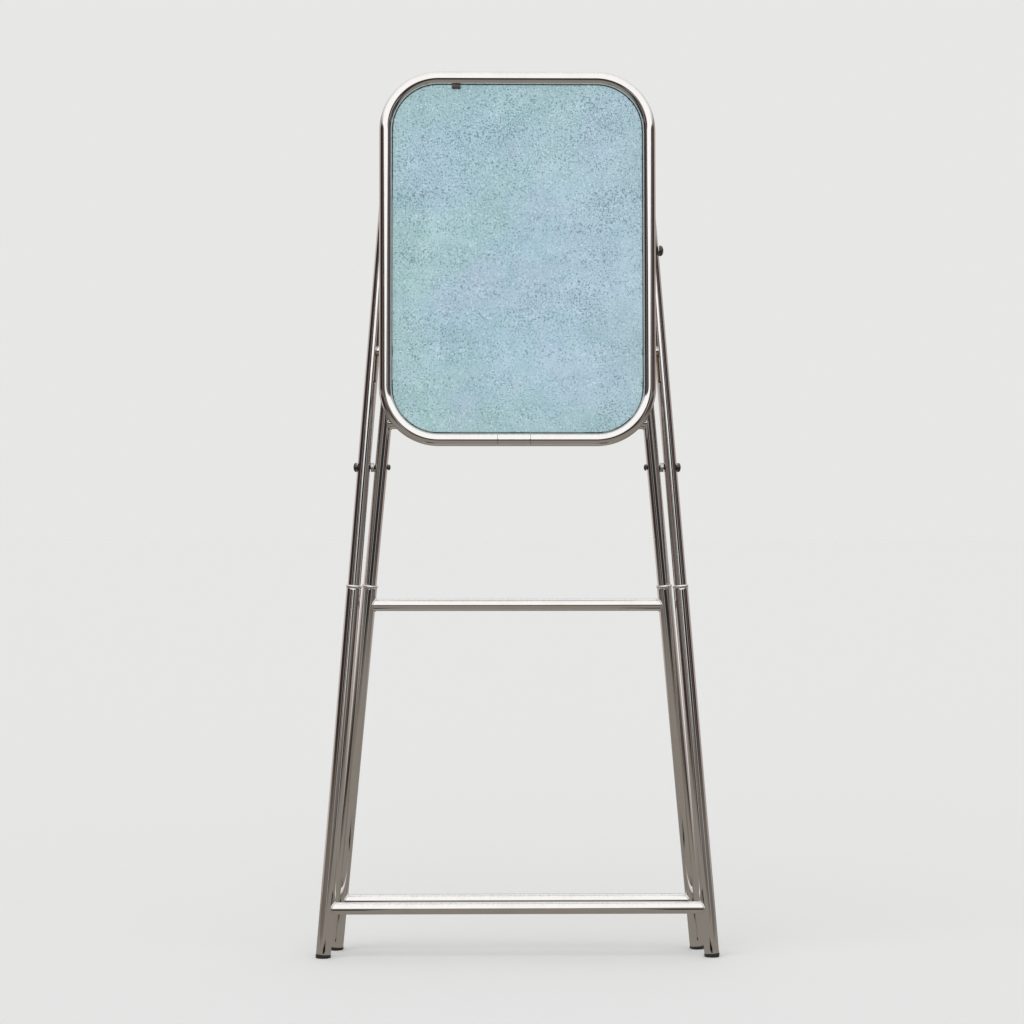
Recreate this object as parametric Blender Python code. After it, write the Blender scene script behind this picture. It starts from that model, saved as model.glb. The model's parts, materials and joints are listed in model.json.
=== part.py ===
"""Free-standing trouser press: two boards on a folding stand of chromed steel tube.

Metres, +Z up, +X to the right of a person who faces the boards, +Y away from them. The origin is on the
floor under the middle of the stand. Two tube frames cross at a bolted pivot below the boards. The front frame
has its feet in front and leans back; it carries the fixed rear board. The rear frame has its feet behind, and
the front board hinges on its top bar. Each frame is drawn flat in the XZ plane of its own empty, which
sits on its joint's axis.
"""

import math

import bmesh
import bpy
from mathutils import Matrix, Vector

MM = 0.001
GAP = 0.3 * MM  # clearance between pieces that touch on the real stand
SIDES = 16
BEND_STEPS = 5
COPE_SIDES = 22  # these two keep a cope's edges off the edges of the bar it cuts
COPE_TURN = 6

# The stand
PIVOT_HEIGHT = 582 * MM
LEAN = math.atan(30 / 582)  # each frame's feet stand 30 mm before or behind the pivot
DROP = PIVOT_HEIGHT / math.cos(LEAN)  # pivot to floor along a frame
LEG_R = 8.8 * MM
LEG_WALL = 0.7 * MM
HOOP_R = 7.8 * MM
HOOP_WALL = 1.0 * MM
BAR_R = 7.3 * MM
FRONT_HALF_FOOT = 231 * MM
FRONT_HALF_PIVOT = 183.7 * MM
REAR_HALF_FOOT = 218.7 * MM
REAR_HALF_PIVOT = 163 * MM
BAND_HEIGHT = 441 * MM
PLUG_IN = 40 * MM
HOOP_TOP_HEIGHT = 1041 * MM
HOOP_BEND_R = 60 * MM
FRONT_FOOT_BAR_HEIGHT = 58 * MM
REAR_FOOT_BAR_HEIGHT = 60 * MM
MIDDLE_BAR_HEIGHT = 417 * MM
HINGE_BAR_HEIGHT = 635 * MM
REAR_LEG_TOP_HEIGHT = 683 * MM
RAIL_HEIGHTS = (722 * MM, 960 * MM)
PLUG_HEAD = 2.9 * MM

# The pivot hardware, along X
BOLT_R = 2.5 * MM
BOLT_HEAD_R = 5.5 * MM
BOLT_HEAD_TALL = 4.0 * MM
SPACER_R = 5.5 * MM
SPACER_THICK = 3.8 * MM
NUT_R = 3.9 * MM
NUT_THREAD = 1.5 * MM
NUT_CROWN = 1.2 * MM
SEAT_GAP = 0.6 * MM  # from a tube's side to the flat face of a head, nut or spacer

# The boards, as distances in front of the front frame's plane
REAR_BOARD_BACK = 8.1 * MM
REAR_BOARD_THICK = 9 * MM
REAR_BOARD_HALF = 145 * MM
REAR_BOARD_LOW = 662 * MM
REAR_BOARD_HIGH = 1036 * MM
REAR_BOARD_CORNER = 50 * MM
TROUSER_GAP = 8 * MM
PANEL_BACK = REAR_BOARD_BACK + REAR_BOARD_THICK + TROUSER_GAP
PANEL_THICK = 6 * MM
RING_R = 8.0 * MM
RING_WALL = 1.0 * MM
RING_HALF = 157 * MM  # to the tube's centre line
RING_LOW = 614.8 * MM
RING_HIGH = 1047 * MM
RING_BEND_R = 63 * MM
RING_FORWARD = PANEL_BACK + PANEL_THICK / 2
JOINER_LEFT = -24 * MM
JOINER_RIGHT = 15 * MM

# The board hinge and the catch
SADDLE_X = 90 * MM
SADDLE_HALF = 11 * MM
SCREW_R = 2.0 * MM
SCREW_HEAD_R = 3.4 * MM
SADDLE_SCREW_Z = 12.5 * MM
CATCH_HEIGHT = 843 * MM
CATCH_PIN_REACH = 13.5 * MM
CATCH_PIN_R = 1.5 * MM
HOOK_X = 150.5 * MM  # middle of the hook plate
HOOK_THICK = 2.0 * MM
SPINDLE_R = 2.5 * MM
SPINDLE_NECK_R = 1.5 * MM
KNOB_R = 6.5 * MM
KNOB_TALL = 5.4 * MM
KNOB_SKIRT = 2.0 * MM
KNOB_SOCKET = 2.4 * MM
KNOB_SEAT = 0.6 * MM

FRONT_FRAME = Matrix.Translation((0, 0, PIVOT_HEIGHT)) @ Matrix.Rotation(-LEAN, 4, "X")
REAR_FRAME = Matrix.Translation((0, 0, PIVOT_HEIGHT)) @ Matrix.Rotation(LEAN, 4, "X")


def along(height):
    """Distance from the pivot, up along either frame, of a point at this height above the floor."""
    return (height - PIVOT_HEIGHT) / math.cos(LEAN)


def front_half(z):
    """Half of the front frame's width at a distance z up the frame from the pivot."""
    return FRONT_HALF_PIVOT - (FRONT_HALF_FOOT - FRONT_HALF_PIVOT) * z / DROP


def rear_half(z):
    return REAR_HALF_PIVOT - (REAR_HALF_FOOT - REAR_HALF_PIVOT) * z / DROP


HINGE_ORIGIN = REAR_FRAME @ Vector((0, 0, along(HINGE_BAR_HEIGHT)))
HINGE_IN_FRONT = FRONT_FRAME.inverted() @ HINGE_ORIGIN
BOARD_FRAME = Matrix.Translation(HINGE_ORIGIN) @ Matrix.Rotation(-LEAN, 4, "X")
CATCH_Z = along(CATCH_HEIGHT)
CATCH_X = front_half(CATCH_Z)
CATCH_FRAME = FRONT_FRAME @ Matrix.Translation((CATCH_X, 0, CATCH_Z))


# ---------------------------------------------------------------- materials and objects


def material(name, colour, roughness, metallic):
    made = bpy.data.materials.new(name)
    made.use_nodes = True
    shader = made.node_tree.nodes["Principled BSDF"]
    shader.inputs["Base Color"].default_value = (*colour, 1.0)
    shader.inputs["Roughness"].default_value = roughness
    shader.inputs["Metallic"].default_value = metallic
    return made


def clear_scene():
    for item in list(bpy.data.objects):
        bpy.data.objects.remove(item)


def axis_empty(name, matrix):
    empty = bpy.data.objects.new(name, None)
    empty.matrix_world = matrix
    bpy.context.scene.collection.objects.link(empty)
    return empty


def piece(name, shape, finish, parent):
    """Makes one object of a bmesh drawn in its parent's frame."""
    bmesh.ops.recalc_face_normals(shape, faces=shape.faces)
    mesh = bpy.data.meshes.new(name)
    shape.to_mesh(mesh)
    shape.free()
    mesh.shade_smooth()
    mesh.set_sharp_from_angle(angle=math.radians(40))
    mesh.materials.append(finish)
    made = bpy.data.objects.new(name, mesh)
    made.parent = parent
    bpy.context.scene.collection.objects.link(made)
    return made


def cut(target, cutter):
    """Cuts a helper's shape out of an object. The helper stays as a wire guide."""
    cutter.hide_render = True
    cutter.display_type = "WIRE"
    modifier = target.modifiers.new(cutter.name, "BOOLEAN")
    modifier.operation = "DIFFERENCE"
    modifier.solver = "EXACT"
    modifier.object = cutter


# ---------------------------------------------------------------- shapes


def toward(direction, origin=Vector((0, 0, 0))):
    """A place whose Z runs along a direction."""
    turn = Vector(direction).to_track_quat("Z", "Y").to_matrix().to_4x4()
    return Matrix.Translation(origin) @ turn


def turned(outline, place, sides=SIDES):
    """Turns an outline of (radius, height) points about the place's Z.

    An outline that starts and ends at radius 0 is a solid; any other closes on itself, as a tube's wall does.
    """
    shape = bmesh.new()
    rings = []
    for radius, height in outline:
        if radius == 0:
            rings.append([shape.verts.new(place @ Vector((0, 0, height)))])
            continue
        ring = []
        for k in range(sides):
            angle = 2 * math.pi * k / sides
            spot = Vector((radius * math.cos(angle), radius * math.sin(angle), height))
            ring.append(shape.verts.new(place @ spot))
        rings.append(ring)
    pairs = list(zip(rings, rings[1:]))
    if outline[0][0] > 0:
        pairs.append((rings[-1], rings[0]))
    for low, high in pairs:
        for k in range(sides):
            m = (k + 1) % sides
            if len(low) == 1:
                shape.faces.new((low[0], high[m], high[k]))
            elif len(high) == 1:
                shape.faces.new((low[k], low[m], high[0]))
            else:
                shape.faces.new((low[k], low[m], high[m], high[k]))
    return shape


def swept(path, outer, wall, forward=0.0):
    """A round tube along a flat path of (x, z) points, open at both ends. forward moves it along local Y."""
    points = [Vector((x, forward, z)) for x, z in path]
    shape = bmesh.new()
    flat = Vector((0, 1, 0))
    walls = ([], [])
    for i, point in enumerate(points):
        steps = []
        if i > 0:
            steps.append((point - points[i - 1]).normalized())
        if i < len(points) - 1:
            steps.append((points[i + 1] - point).normalized())
        tangent = sum(steps, Vector()).normalized()
        across = tangent.cross(flat) / steps[0].dot(tangent)
        for rings, radius in zip(walls, (outer, outer - wall)):
            ring = []
            for k in range(SIDES):
                angle = 2 * math.pi * k / SIDES
                offset = across * (radius * math.cos(angle)) + flat * (radius * math.sin(angle))
                ring.append(shape.verts.new(point + offset))
            rings.append(ring)
    for rings in walls:
        for low, high in zip(rings, rings[1:]):
            for k in range(SIDES):
                m = (k + 1) % SIDES
                shape.faces.new((low[k], low[m], high[m], high[k]))
    for end in (0, -1):
        for k in range(SIDES):
            m = (k + 1) % SIDES
            shape.faces.new((walls[0][end][k], walls[0][end][m], walls[1][end][m], walls[1][end][k]))
    return shape


def extruded(outline, low, high, axes="xz"):
    """A plate: an outline of points in two axes, extruded along the third from low to high."""
    third = ({0, 1, 2} - {"xyz".index(a) for a in axes}).pop()
    shape = bmesh.new()
    ends = []
    for level in (low, high):
        ring = []
        for u, v in outline:
            spot = Vector((0, 0, 0))
            spot["xyz".index(axes[0])] = u
            spot["xyz".index(axes[1])] = v
            spot[third] = level
            ring.append(shape.verts.new(spot))
        ends.append(ring)
    shape.faces.new(ends[0])
    shape.faces.new(ends[1])
    for k in range(len(outline)):
        m = (k + 1) % len(outline)
        shape.faces.new((ends[0][k], ends[0][m], ends[1][m], ends[1][k]))
    return shape


def bend(corner, before, after, radius, steps=BEND_STEPS):
    """The (x, z) points of the round bend at a corner, from the side of `before` to the side of `after`."""
    corner = Vector(corner)
    a = (Vector(before) - corner).normalized()
    b = (Vector(after) - corner).normalized()
    half = a.angle(b) / 2
    centre = corner + (a + b).normalized() * (radius / math.sin(half))
    start = corner + a * (radius / math.tan(half)) - centre
    end = corner + b * (radius / math.tan(half)) - centre
    sweep = start.angle(end)
    points = []
    for k in range(steps + 1):
        t = k / steps
        spoke = start * math.sin((1 - t) * sweep) + end * math.sin(t * sweep)
        points.append(tuple(centre + spoke / math.sin(sweep)))
    return points


def rounded_rectangle(half, low, high, radius):
    corners = [(half, low), (half, high), (-half, high), (-half, low)]
    points = []
    for k, corner in enumerate(corners):
        points += bend(corner, corners[k - 1], corners[(k + 1) % 4], radius)
    return points


def rod(outer, length, place, wall=None, sides=SIDES):
    """A straight rod or, with a wall, an open tube, from the place along its Z."""
    if wall is None:
        return turned([(0, 0), (outer, 0), (outer, length), (0, length)], place, sides)
    inner = outer - wall
    return turned([(outer, 0), (outer, length), (inner, length), (inner, 0)], place, sides)


def dome(radius, tall, stem, base=0.0):
    """Outline of a low domed head, from the axis under its base to the top of its crown."""
    points = [(0, base), (radius, base), (radius, base + stem)]
    for k in range(1, 4):
        angle = math.pi / 2 * k / 4
        points.append((radius * math.cos(angle), base + stem + (tall - stem) * math.sin(angle)))
    return points + [(0, base + tall)]


# ---------------------------------------------------------------- the tube frames


def leg_place(half, side, z):
    """A place on a leg's centre line at distance z up the frame, with its Z up along the leg."""
    low = Vector((side * half(-DROP), 0, -DROP))
    high = Vector((side * half(0), 0, 0))
    return toward(high - low, Vector((side * half(z), 0, z)))


def lower_leg(name, half, side, finish, parent):
    """Lower leg tube, with the rolled lip where the thinner upper tube plugs in."""
    foot = along(PLUG_HEAD + 1.2 * MM)
    place = leg_place(half, side, foot)
    length = (along(BAND_HEIGHT) - foot) / place.col[2].z
    inner = LEG_R - LEG_WALL
    lip = 0.7 * MM
    outline = [
        (LEG_R, 0),
        (LEG_R, length - 3.2 * MM),
        (LEG_R + lip, length - 2.4 * MM),
        (LEG_R + lip, length - 0.9 * MM),
        (LEG_R, length),
        (inner, length),
        (inner, 0),
    ]
    return piece(name, turned(outline, place), finish, parent)


def foot_plug(name, half, side, frame, finish, parent):
    """Plastic plug in the end of a leg. Its underside is cut level, so that it stands flat on the floor."""
    place = leg_place(half, side, along(PLUG_HEAD + 1.2 * MM))
    spigot = LEG_R - LEG_WALL - GAP
    outline = [
        (0, 14 * MM),
        (spigot - 1 * MM, 14 * MM),
        (spigot, 13 * MM),
        (spigot, -GAP),
        (LEG_R + 0.4 * MM, -GAP),
        (LEG_R + 0.4 * MM, -1.7 * MM),
        (LEG_R - 0.2 * MM, -PLUG_HEAD),
        (0, -PLUG_HEAD),
    ]
    shape = turned(outline, place)
    down = (frame.to_3x3() @ place.to_3x3() @ Vector((0, 0, -1))).z
    axis = place.to_3x3() @ Vector((0, 0, -1))
    shape.verts.ensure_lookup_table()
    for vert in shape.verts[-(SIDES + 1):]:
        vert.co += axis * (-(frame @ vert.co).z / down)
    return piece(name, shape, finish, parent)


def cross_bar(name, half, height, leg_r, finish, parent):
    """Straight bar welded between two legs. Each end is fish-mouthed to the round of its leg."""
    z = along(height)
    bar = piece(
        name,
        rod(BAR_R, 2 * half(z), toward((1, 0, 0), Vector((-half(z), 0, z))), HOOP_WALL),
        finish,
        parent,
    )
    for side, word in ((-1, "left"), (1, "right")):
        place = leg_place(half, side, z - 20 * MM) @ Matrix.Rotation(math.radians(COPE_TURN), 4, "Z")
        cutter = rod(leg_r + GAP, 40 * MM, place, sides=COPE_SIDES)
        cut(bar, piece(f"cope_{name}_{word}", cutter, finish, parent))
    return bar


def bolt_hole(target, name, radius, x_from, x_to, z, finish, parent):
    cutter = rod(radius, x_to - x_from, toward((1, 0, 0), Vector((x_from, 0, z))), sides=16)
    cut(target, piece(name, cutter, finish, parent))


def upper_hoop(finish, parent):
    """The front frame's upper tube: one inverted U, plugged into both lower legs."""
    low = along(BAND_HEIGHT) - PLUG_IN
    top = along(HOOP_TOP_HEIGHT)
    left = (-front_half(top), top)
    right = (front_half(top), top)
    left_end = (-front_half(low), low)
    right_end = (front_half(low), low)
    path = [left_end]
    path += bend(left, left_end, right, HOOP_BEND_R)
    path += bend(right, left, right_end, HOOP_BEND_R)
    path.append(right_end)
    hoop = piece("upper_hoop", swept(path, HOOP_R, HOOP_WALL), finish, parent)
    reach = front_half(0) + 20 * MM
    bolt_hole(hoop, "hoop_pivot_hole", BOLT_R + GAP, -reach, reach, 0, finish, parent)
    near, far = CATCH_X - 15 * MM, CATCH_X + 15 * MM
    bolt_hole(hoop, "hoop_catch_hole", SPINDLE_R + GAP, near, far, CATCH_Z, finish, parent)
    return hoop


def upper_rear_leg(name, side, finish, parent):
    """Upper tube of the rear frame. It ends, capped, a hand's breadth above the pivot."""
    low = along(BAND_HEIGHT) - PLUG_IN
    place = leg_place(rear_half, side, low)
    length = (along(REAR_LEG_TOP_HEIGHT) - low) / place.col[2].z
    leg = piece(name, rod(HOOP_R, length, place, HOOP_WALL), finish, parent)
    middle = side * rear_half(0)
    bolt_hole(
        leg, f"{name}_hole", BOLT_R + GAP, middle - 15 * MM, middle + 15 * MM, 0, finish, parent
    )
    return leg


def end_cap(name, side, finish, parent):
    place = leg_place(rear_half, side, along(REAR_LEG_TOP_HEIGHT))
    spigot = HOOP_R - HOOP_WALL - GAP
    outline = [(0, -12 * MM), (spigot, -12 * MM), (spigot, GAP), (HOOP_R, GAP)]
    outline += [(HOOP_R, 2 * MM), (HOOP_R - 1.5 * MM, 3.4 * MM), (0, 3.8 * MM)]
    return piece(name, turned(outline, place), finish, parent)


# ---------------------------------------------------------------- pivot hardware


def pivot_set(side, word, steel, bright, parent):
    """Bolt from outside, spacer between the frames and domed nut inside, on the stand's fold axis."""
    outward = Vector((side, 0, 0))
    hoop_face = front_half(0) + HOOP_R + SEAT_GAP
    nut_face = rear_half(0) - HOOP_R - SEAT_GAP
    bolt_end = nut_face - NUT_THREAD
    head = toward(outward, outward * hoop_face)
    outline = [(0, bolt_end - hoop_face), (BOLT_R, bolt_end - hoop_face), (BOLT_R, 0)]
    outline += dome(BOLT_HEAD_R, BOLT_HEAD_TALL, 1.4 * MM)[1:]
    piece(f"pivot_bolt_{word}", turned(outline, head), steel, parent)

    middle = (front_half(0) - HOOP_R + rear_half(0) + HOOP_R) / 2
    spacer = toward(outward, outward * (middle - SPACER_THICK / 2))
    hole = BOLT_R + GAP
    outline = [(SPACER_R, 0), (SPACER_R, SPACER_THICK), (hole, SPACER_THICK), (hole, 0)]
    piece(f"pivot_spacer_{word}", turned(outline, spacer), bright, parent)

    nut = toward(-outward, outward * nut_face)
    depth = nut_face - bolt_end + GAP
    outline = [(0, depth), (hole, depth), (hole, 0)]
    outline += dome(NUT_R, depth + NUT_CROWN, 1.4 * MM)[1:]
    piece(f"pivot_nut_{word}", turned(outline, nut), steel, parent)


# ---------------------------------------------------------------- the boards


def in_board(point_in_front):
    """A point of the front frame's empty, read in the front board's empty."""
    return Vector(point_in_front) - HINGE_IN_FRONT


def rear_board(finish, steel, rubber, parent):
    """Fixed pressing board in front of the two rails, held by four screws from behind."""
    low, high = along(REAR_BOARD_LOW), along(REAR_BOARD_HIGH)
    front = -REAR_BOARD_BACK - REAR_BOARD_THICK
    outline = rounded_rectangle(REAR_BOARD_HALF, low, high, REAR_BOARD_CORNER)
    board = piece("rear_board", extruded(outline, front, -REAR_BOARD_BACK), finish, parent)
    rails = []
    for height, word in zip(RAIL_HEIGHTS, ("lower", "upper")):
        rails.append(cross_bar(f"{word}_rail", front_half, height, HOOP_R, steel, parent))
    number = 0
    for rail, height in zip(rails, RAIL_HEIGHTS):
        for side in (-1, 1):
            number += 1
            spot = Vector((side * SADDLE_X, 0, along(height)))
            start = toward((0, 1, 0), spot - Vector((0, BAR_R + 6 * MM, 0)))
            hole = rod(SCREW_R + GAP, 2 * BAR_R + 8 * MM, start, sides=12)
            guide = piece(f"board_screw_hole_{number}", hole, steel, parent)
            cut(board, guide)
            cut(rail, guide)
            head = toward((0, 1, 0), spot + Vector((0, BAR_R + GAP, 0)))
            deep = -2 * BAR_R - 5 * MM
            outline = [(0, deep), (SCREW_R, deep), (SCREW_R, 0)] + dome(SCREW_HEAD_R, 2.4 * MM, 0.8 * MM)[1:]
            piece(f"board_screw_{number}", turned(outline, head, 12), steel, parent)
    for side, word in ((-1, "left"), (1, "right")):
        spot = Vector((side * 122 * MM, front - GAP, along(1012 * MM)))
        outline = dome(5 * MM, TROUSER_GAP - 2 * GAP, 5 * MM)
        piece(f"board_buffer_{word}", turned(outline, toward((0, -1, 0), spot), 16), rubber, parent)


def board_ring(finish, parent):
    """The front board's frame: one tube bent round to meet itself at the joiner."""
    shift = in_board((0, -RING_FORWARD, 0))
    low, high = along(RING_LOW) - 1.4 * MM + shift.z, along(RING_HIGH) - 1.4 * MM + shift.z
    corners = [(RING_HALF, low), (RING_HALF, high), (-RING_HALF, high), (-RING_HALF, low)]
    start, end = (JOINER_RIGHT + GAP, low), (JOINER_LEFT - GAP, low)
    path = [start]
    for k, corner in enumerate(corners):
        before = start if k == 0 else corners[k - 1]
        after = end if k == 3 else corners[k + 1]
        path += bend(corner, before, after, RING_BEND_R)
    path.append(end)
    piece("board_ring", swept(path, RING_R, RING_WALL, shift.y), finish, parent)

    spigot = RING_R - RING_WALL - GAP
    collar = JOINER_RIGHT - JOINER_LEFT
    reach = 22 * MM
    outline = [(0, -reach), (spigot, -reach), (spigot, 0), (RING_R, 0), (RING_R, collar)]
    outline += [(spigot, collar), (spigot, collar + reach), (0, collar + reach)]
    place = toward((1, 0, 0), Vector((JOINER_LEFT, shift.y, low)))
    piece("ring_joiner", turned(outline, place), finish, parent)
    return low, high


def board_panel(low, high, finish, parent):
    """The speckled panel, let into the ring at its mid-thickness."""
    inset = RING_R + GAP
    back = in_board((0, -PANEL_BACK, 0)).y
    outline = rounded_rectangle(RING_HALF - inset, low + inset, high - inset, RING_BEND_R - inset)
    return piece("board_panel", extruded(outline, back - PANEL_THICK, back), finish, parent)


def panel_clips(low, high, steel, parent):
    """Small clips welded inside the ring: four hold the panel from behind, and one laps its front edge."""
    back = in_board((0, -PANEL_BACK, 0)).y + GAP
    sheet = 1.2 * MM
    near = RING_R + GAP
    middle = (low + high) / 2
    half = 9 * MM
    reach = 14 * MM
    outline = [(0, back), (reach, back), (reach, back + sheet), (sheet, back + sheet)]
    outline += [(sheet, back + 4 * MM), (0, back + 4 * MM)]
    side_x = RING_HALF - near
    for side, word in ((-1, "left"), (1, "right")):
        flat = [(side * (side_x - u), v) for u, v in outline]
        shape = extruded(flat, middle - half, middle + half, "xy")
        piece(f"panel_clip_{word}", shape, steel, parent)
    for edge, way, word in ((low + near, 1, "bottom"), (high - near, -1, "top")):
        flat = [(v, edge + way * u) for u, v in outline]
        shape = extruded(flat, -half, half, "yz")
        piece(f"panel_clip_{word}", shape, steel, parent)
    front = back - PANEL_THICK - 2 * GAP
    edge = high - near
    flat = [(front, edge), (front, edge - 5 * MM)]
    flat += [(front - sheet, edge - 5 * MM), (front - sheet, edge)]
    clip_x = -73 * MM
    shape = extruded(flat, clip_x - 5 * MM, clip_x + 5 * MM, "yz")
    piece("panel_clip_front", shape, steel, parent)


def board_hinges(panel, steel, plastic, parent):
    """Two saddles on the panel's back, each strapped round the hinge bar of the rear frame."""
    back = in_board((0, -PANEL_BACK, 0)).y + GAP
    bore = BAR_R + GAP
    tall = 16 * MM
    step_y = back + 5.2 * MM
    step_z = -12.9 * MM
    strap = 1.5 * MM
    saddle_outline = [(back, tall), (back, step_z), (step_y, step_z), (step_y, -tall), (0, -tall)]
    for k in range(11):
        angle = -math.pi / 2 - math.pi * k / 10
        saddle_outline.append((bore * math.cos(angle), bore * math.sin(angle)))
    saddle_outline.append((0, tall))
    strap_outline = []
    for radius, ends, turn in ((bore, GAP, -1), (bore + strap, GAP + strap, 1)):
        arc = [(ends, turn * tall)]
        start = math.asin(ends / radius)
        for k in range(11):
            angle = turn * (math.pi / 2 - start - (math.pi - 2 * start) * k / 10)
            arc.append((radius * math.cos(angle), radius * math.sin(angle)))
        arc.append((ends, -turn * tall))
        strap_outline += arc
    head_y = GAP + strap + GAP
    for side, word in ((-1, "left"), (1, "right")):
        x = side * SADDLE_X
        saddle = piece(
            f"hinge_saddle_{word}",
            extruded(saddle_outline, x - SADDLE_HALF, x + SADDLE_HALF, "yz"),
            plastic,
            parent,
        )
        band = piece(
            f"hinge_strap_{word}",
            extruded(strap_outline, x - SADDLE_HALF + 1 * MM, x + SADDLE_HALF - 1 * MM, "yz"),
            steel,
            parent,
        )
        for way, level, tip in ((1, "upper", back - 4.2 * MM), (-1, "lower", -9 * MM)):
            spot = Vector((x, head_y, way * SADDLE_SCREW_Z))
            start = toward((0, -1, 0), spot + Vector((0, 2 * MM, 0)))
            hole = rod(SCREW_R + GAP, head_y - tip + 3 * MM, start, sides=12)
            guide = piece(f"hinge_screw_hole_{level}_{word}", hole, steel, parent)
            cut(saddle, guide)
            cut(band, guide)
            if level == "upper":
                cut(panel, guide)
            deep = tip - head_y
            outline = [(0, deep), (SCREW_R, deep), (SCREW_R, 0)]
            outline += dome(SCREW_HEAD_R - 0.4 * MM, 2.0 * MM, 0.7 * MM)[1:]
            piece(f"hinge_screw_{level}_{word}", turned(outline, toward((0, 1, 0), spot), 12), steel, parent)


# ---------------------------------------------------------------- the catch


def catch_keeper(steel, parent):
    """Bracket behind the ring's right side, with the cross pin that the catch's hook takes hold of."""
    spot = in_board((0, 0, CATCH_Z))
    plate_left = HOOK_X + HOOK_THICK / 2 + 1.3 * MM
    plate_right = plate_left + 1.4 * MM
    ring_y = in_board((0, -RING_FORWARD, 0)).y
    rise = math.sqrt(RING_R**2 - (RING_HALF - plate_right) ** 2)
    near = ring_y + rise + GAP + 0.3 * MM
    far = spot.y - CATCH_PIN_REACH + 2.6 * MM
    half = 4 * MM
    flat = [(near, spot.z - half), (far - 2 * MM, spot.z - half), (far, spot.z - 2 * MM)]
    flat += [(far, spot.z + 2 * MM), (far - 2 * MM, spot.z + half), (near, spot.z + half)]
    keeper = piece("catch_keeper", extruded(flat, plate_left, plate_right, "yz"), steel, parent)
    overlap = 0.7 * MM
    pin_from = Vector((plate_left + overlap, spot.y - CATCH_PIN_REACH, spot.z))
    pin = rod(CATCH_PIN_R, HOOK_THICK + 3.2 * MM + overlap, toward((-1, 0, 0), pin_from), sides=12)
    helper = piece("keeper_pin_shape", pin, steel, parent)
    helper.hide_render = True
    helper.display_type = "WIRE"
    union = keeper.modifiers.new("pin", "BOOLEAN")
    union.operation = "UNION"
    union.solver = "EXACT"
    union.object = helper


def catch(steel, plastic, parent):
    """Turn-catch in the right tube of the hoop. At rest its hook points up, clear of the keeper's pin."""
    x = HOOK_X - CATCH_X
    inner = CATCH_PIN_REACH - CATCH_PIN_R - 0.6 * MM
    outer = CATCH_PIN_REACH + CATCH_PIN_R + 0.6 * MM
    finger = outer + 3 * MM
    arm_half = math.radians(14)
    arc_end = math.radians(62)

    def at(radius, angle):
        """A point at an angle from straight up, turning towards the front board."""
        return (-radius * math.sin(angle), radius * math.cos(angle))

    outline = []
    hub = 5 * MM
    for k in range(17):
        angle = math.radians(20) + (2 * math.pi - math.radians(40)) * k / 16
        outline.append(at(hub, angle))
    outline += [at(finger, -arm_half)]
    for k in range(7):
        outline.append(at(finger, -arm_half + (arm_half + arc_end) * (k + 1) / 7))
    for k in range(5):
        outline.append(at(outer, arc_end - (arc_end - arm_half) * k / 4))
    outline.append(at(inner, arm_half))
    outline.reverse()
    half = HOOK_THICK / 2
    hook = piece("catch_hook", extruded(outline, x - half, x + half, "yz"), steel, parent)
    shaft = SPINDLE_R
    neck = SPINDLE_NECK_R
    hole = rod(neck + GAP, 12 * MM, toward((1, 0, 0), Vector((x - 6 * MM, 0, 0))), sides=12)
    cut(hook, piece("hook_hole", hole, steel, parent))
    # The spindle is necked down inside the hook and inside the knob, and riveted over the hook.
    start = x - half - 1.4 * MM
    knob_face = HOOP_R + KNOB_SEAT
    outline = [(0, start), (2.4 * MM, start), (2.4 * MM, x - half - GAP), (neck, x - half - GAP)]
    outline += [(neck, x + half + GAP), (shaft, x + half + GAP)]
    outline += [(shaft, knob_face + KNOB_SOCKET), (0, knob_face + KNOB_SOCKET)]
    piece("catch_spindle", turned(outline, toward((1, 0, 0)), 16), steel, parent)
    socket = shaft + GAP
    outline = [(0, KNOB_SOCKET + GAP), (socket, KNOB_SOCKET + GAP), (socket, 0)]
    outline += dome(KNOB_R, KNOB_TALL, KNOB_SKIRT)[1:]
    piece("catch_knob", turned(outline, toward((1, 0, 0), Vector((knob_face, 0, 0))), 20), plastic, parent)


# ---------------------------------------------------------------- the press


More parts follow.
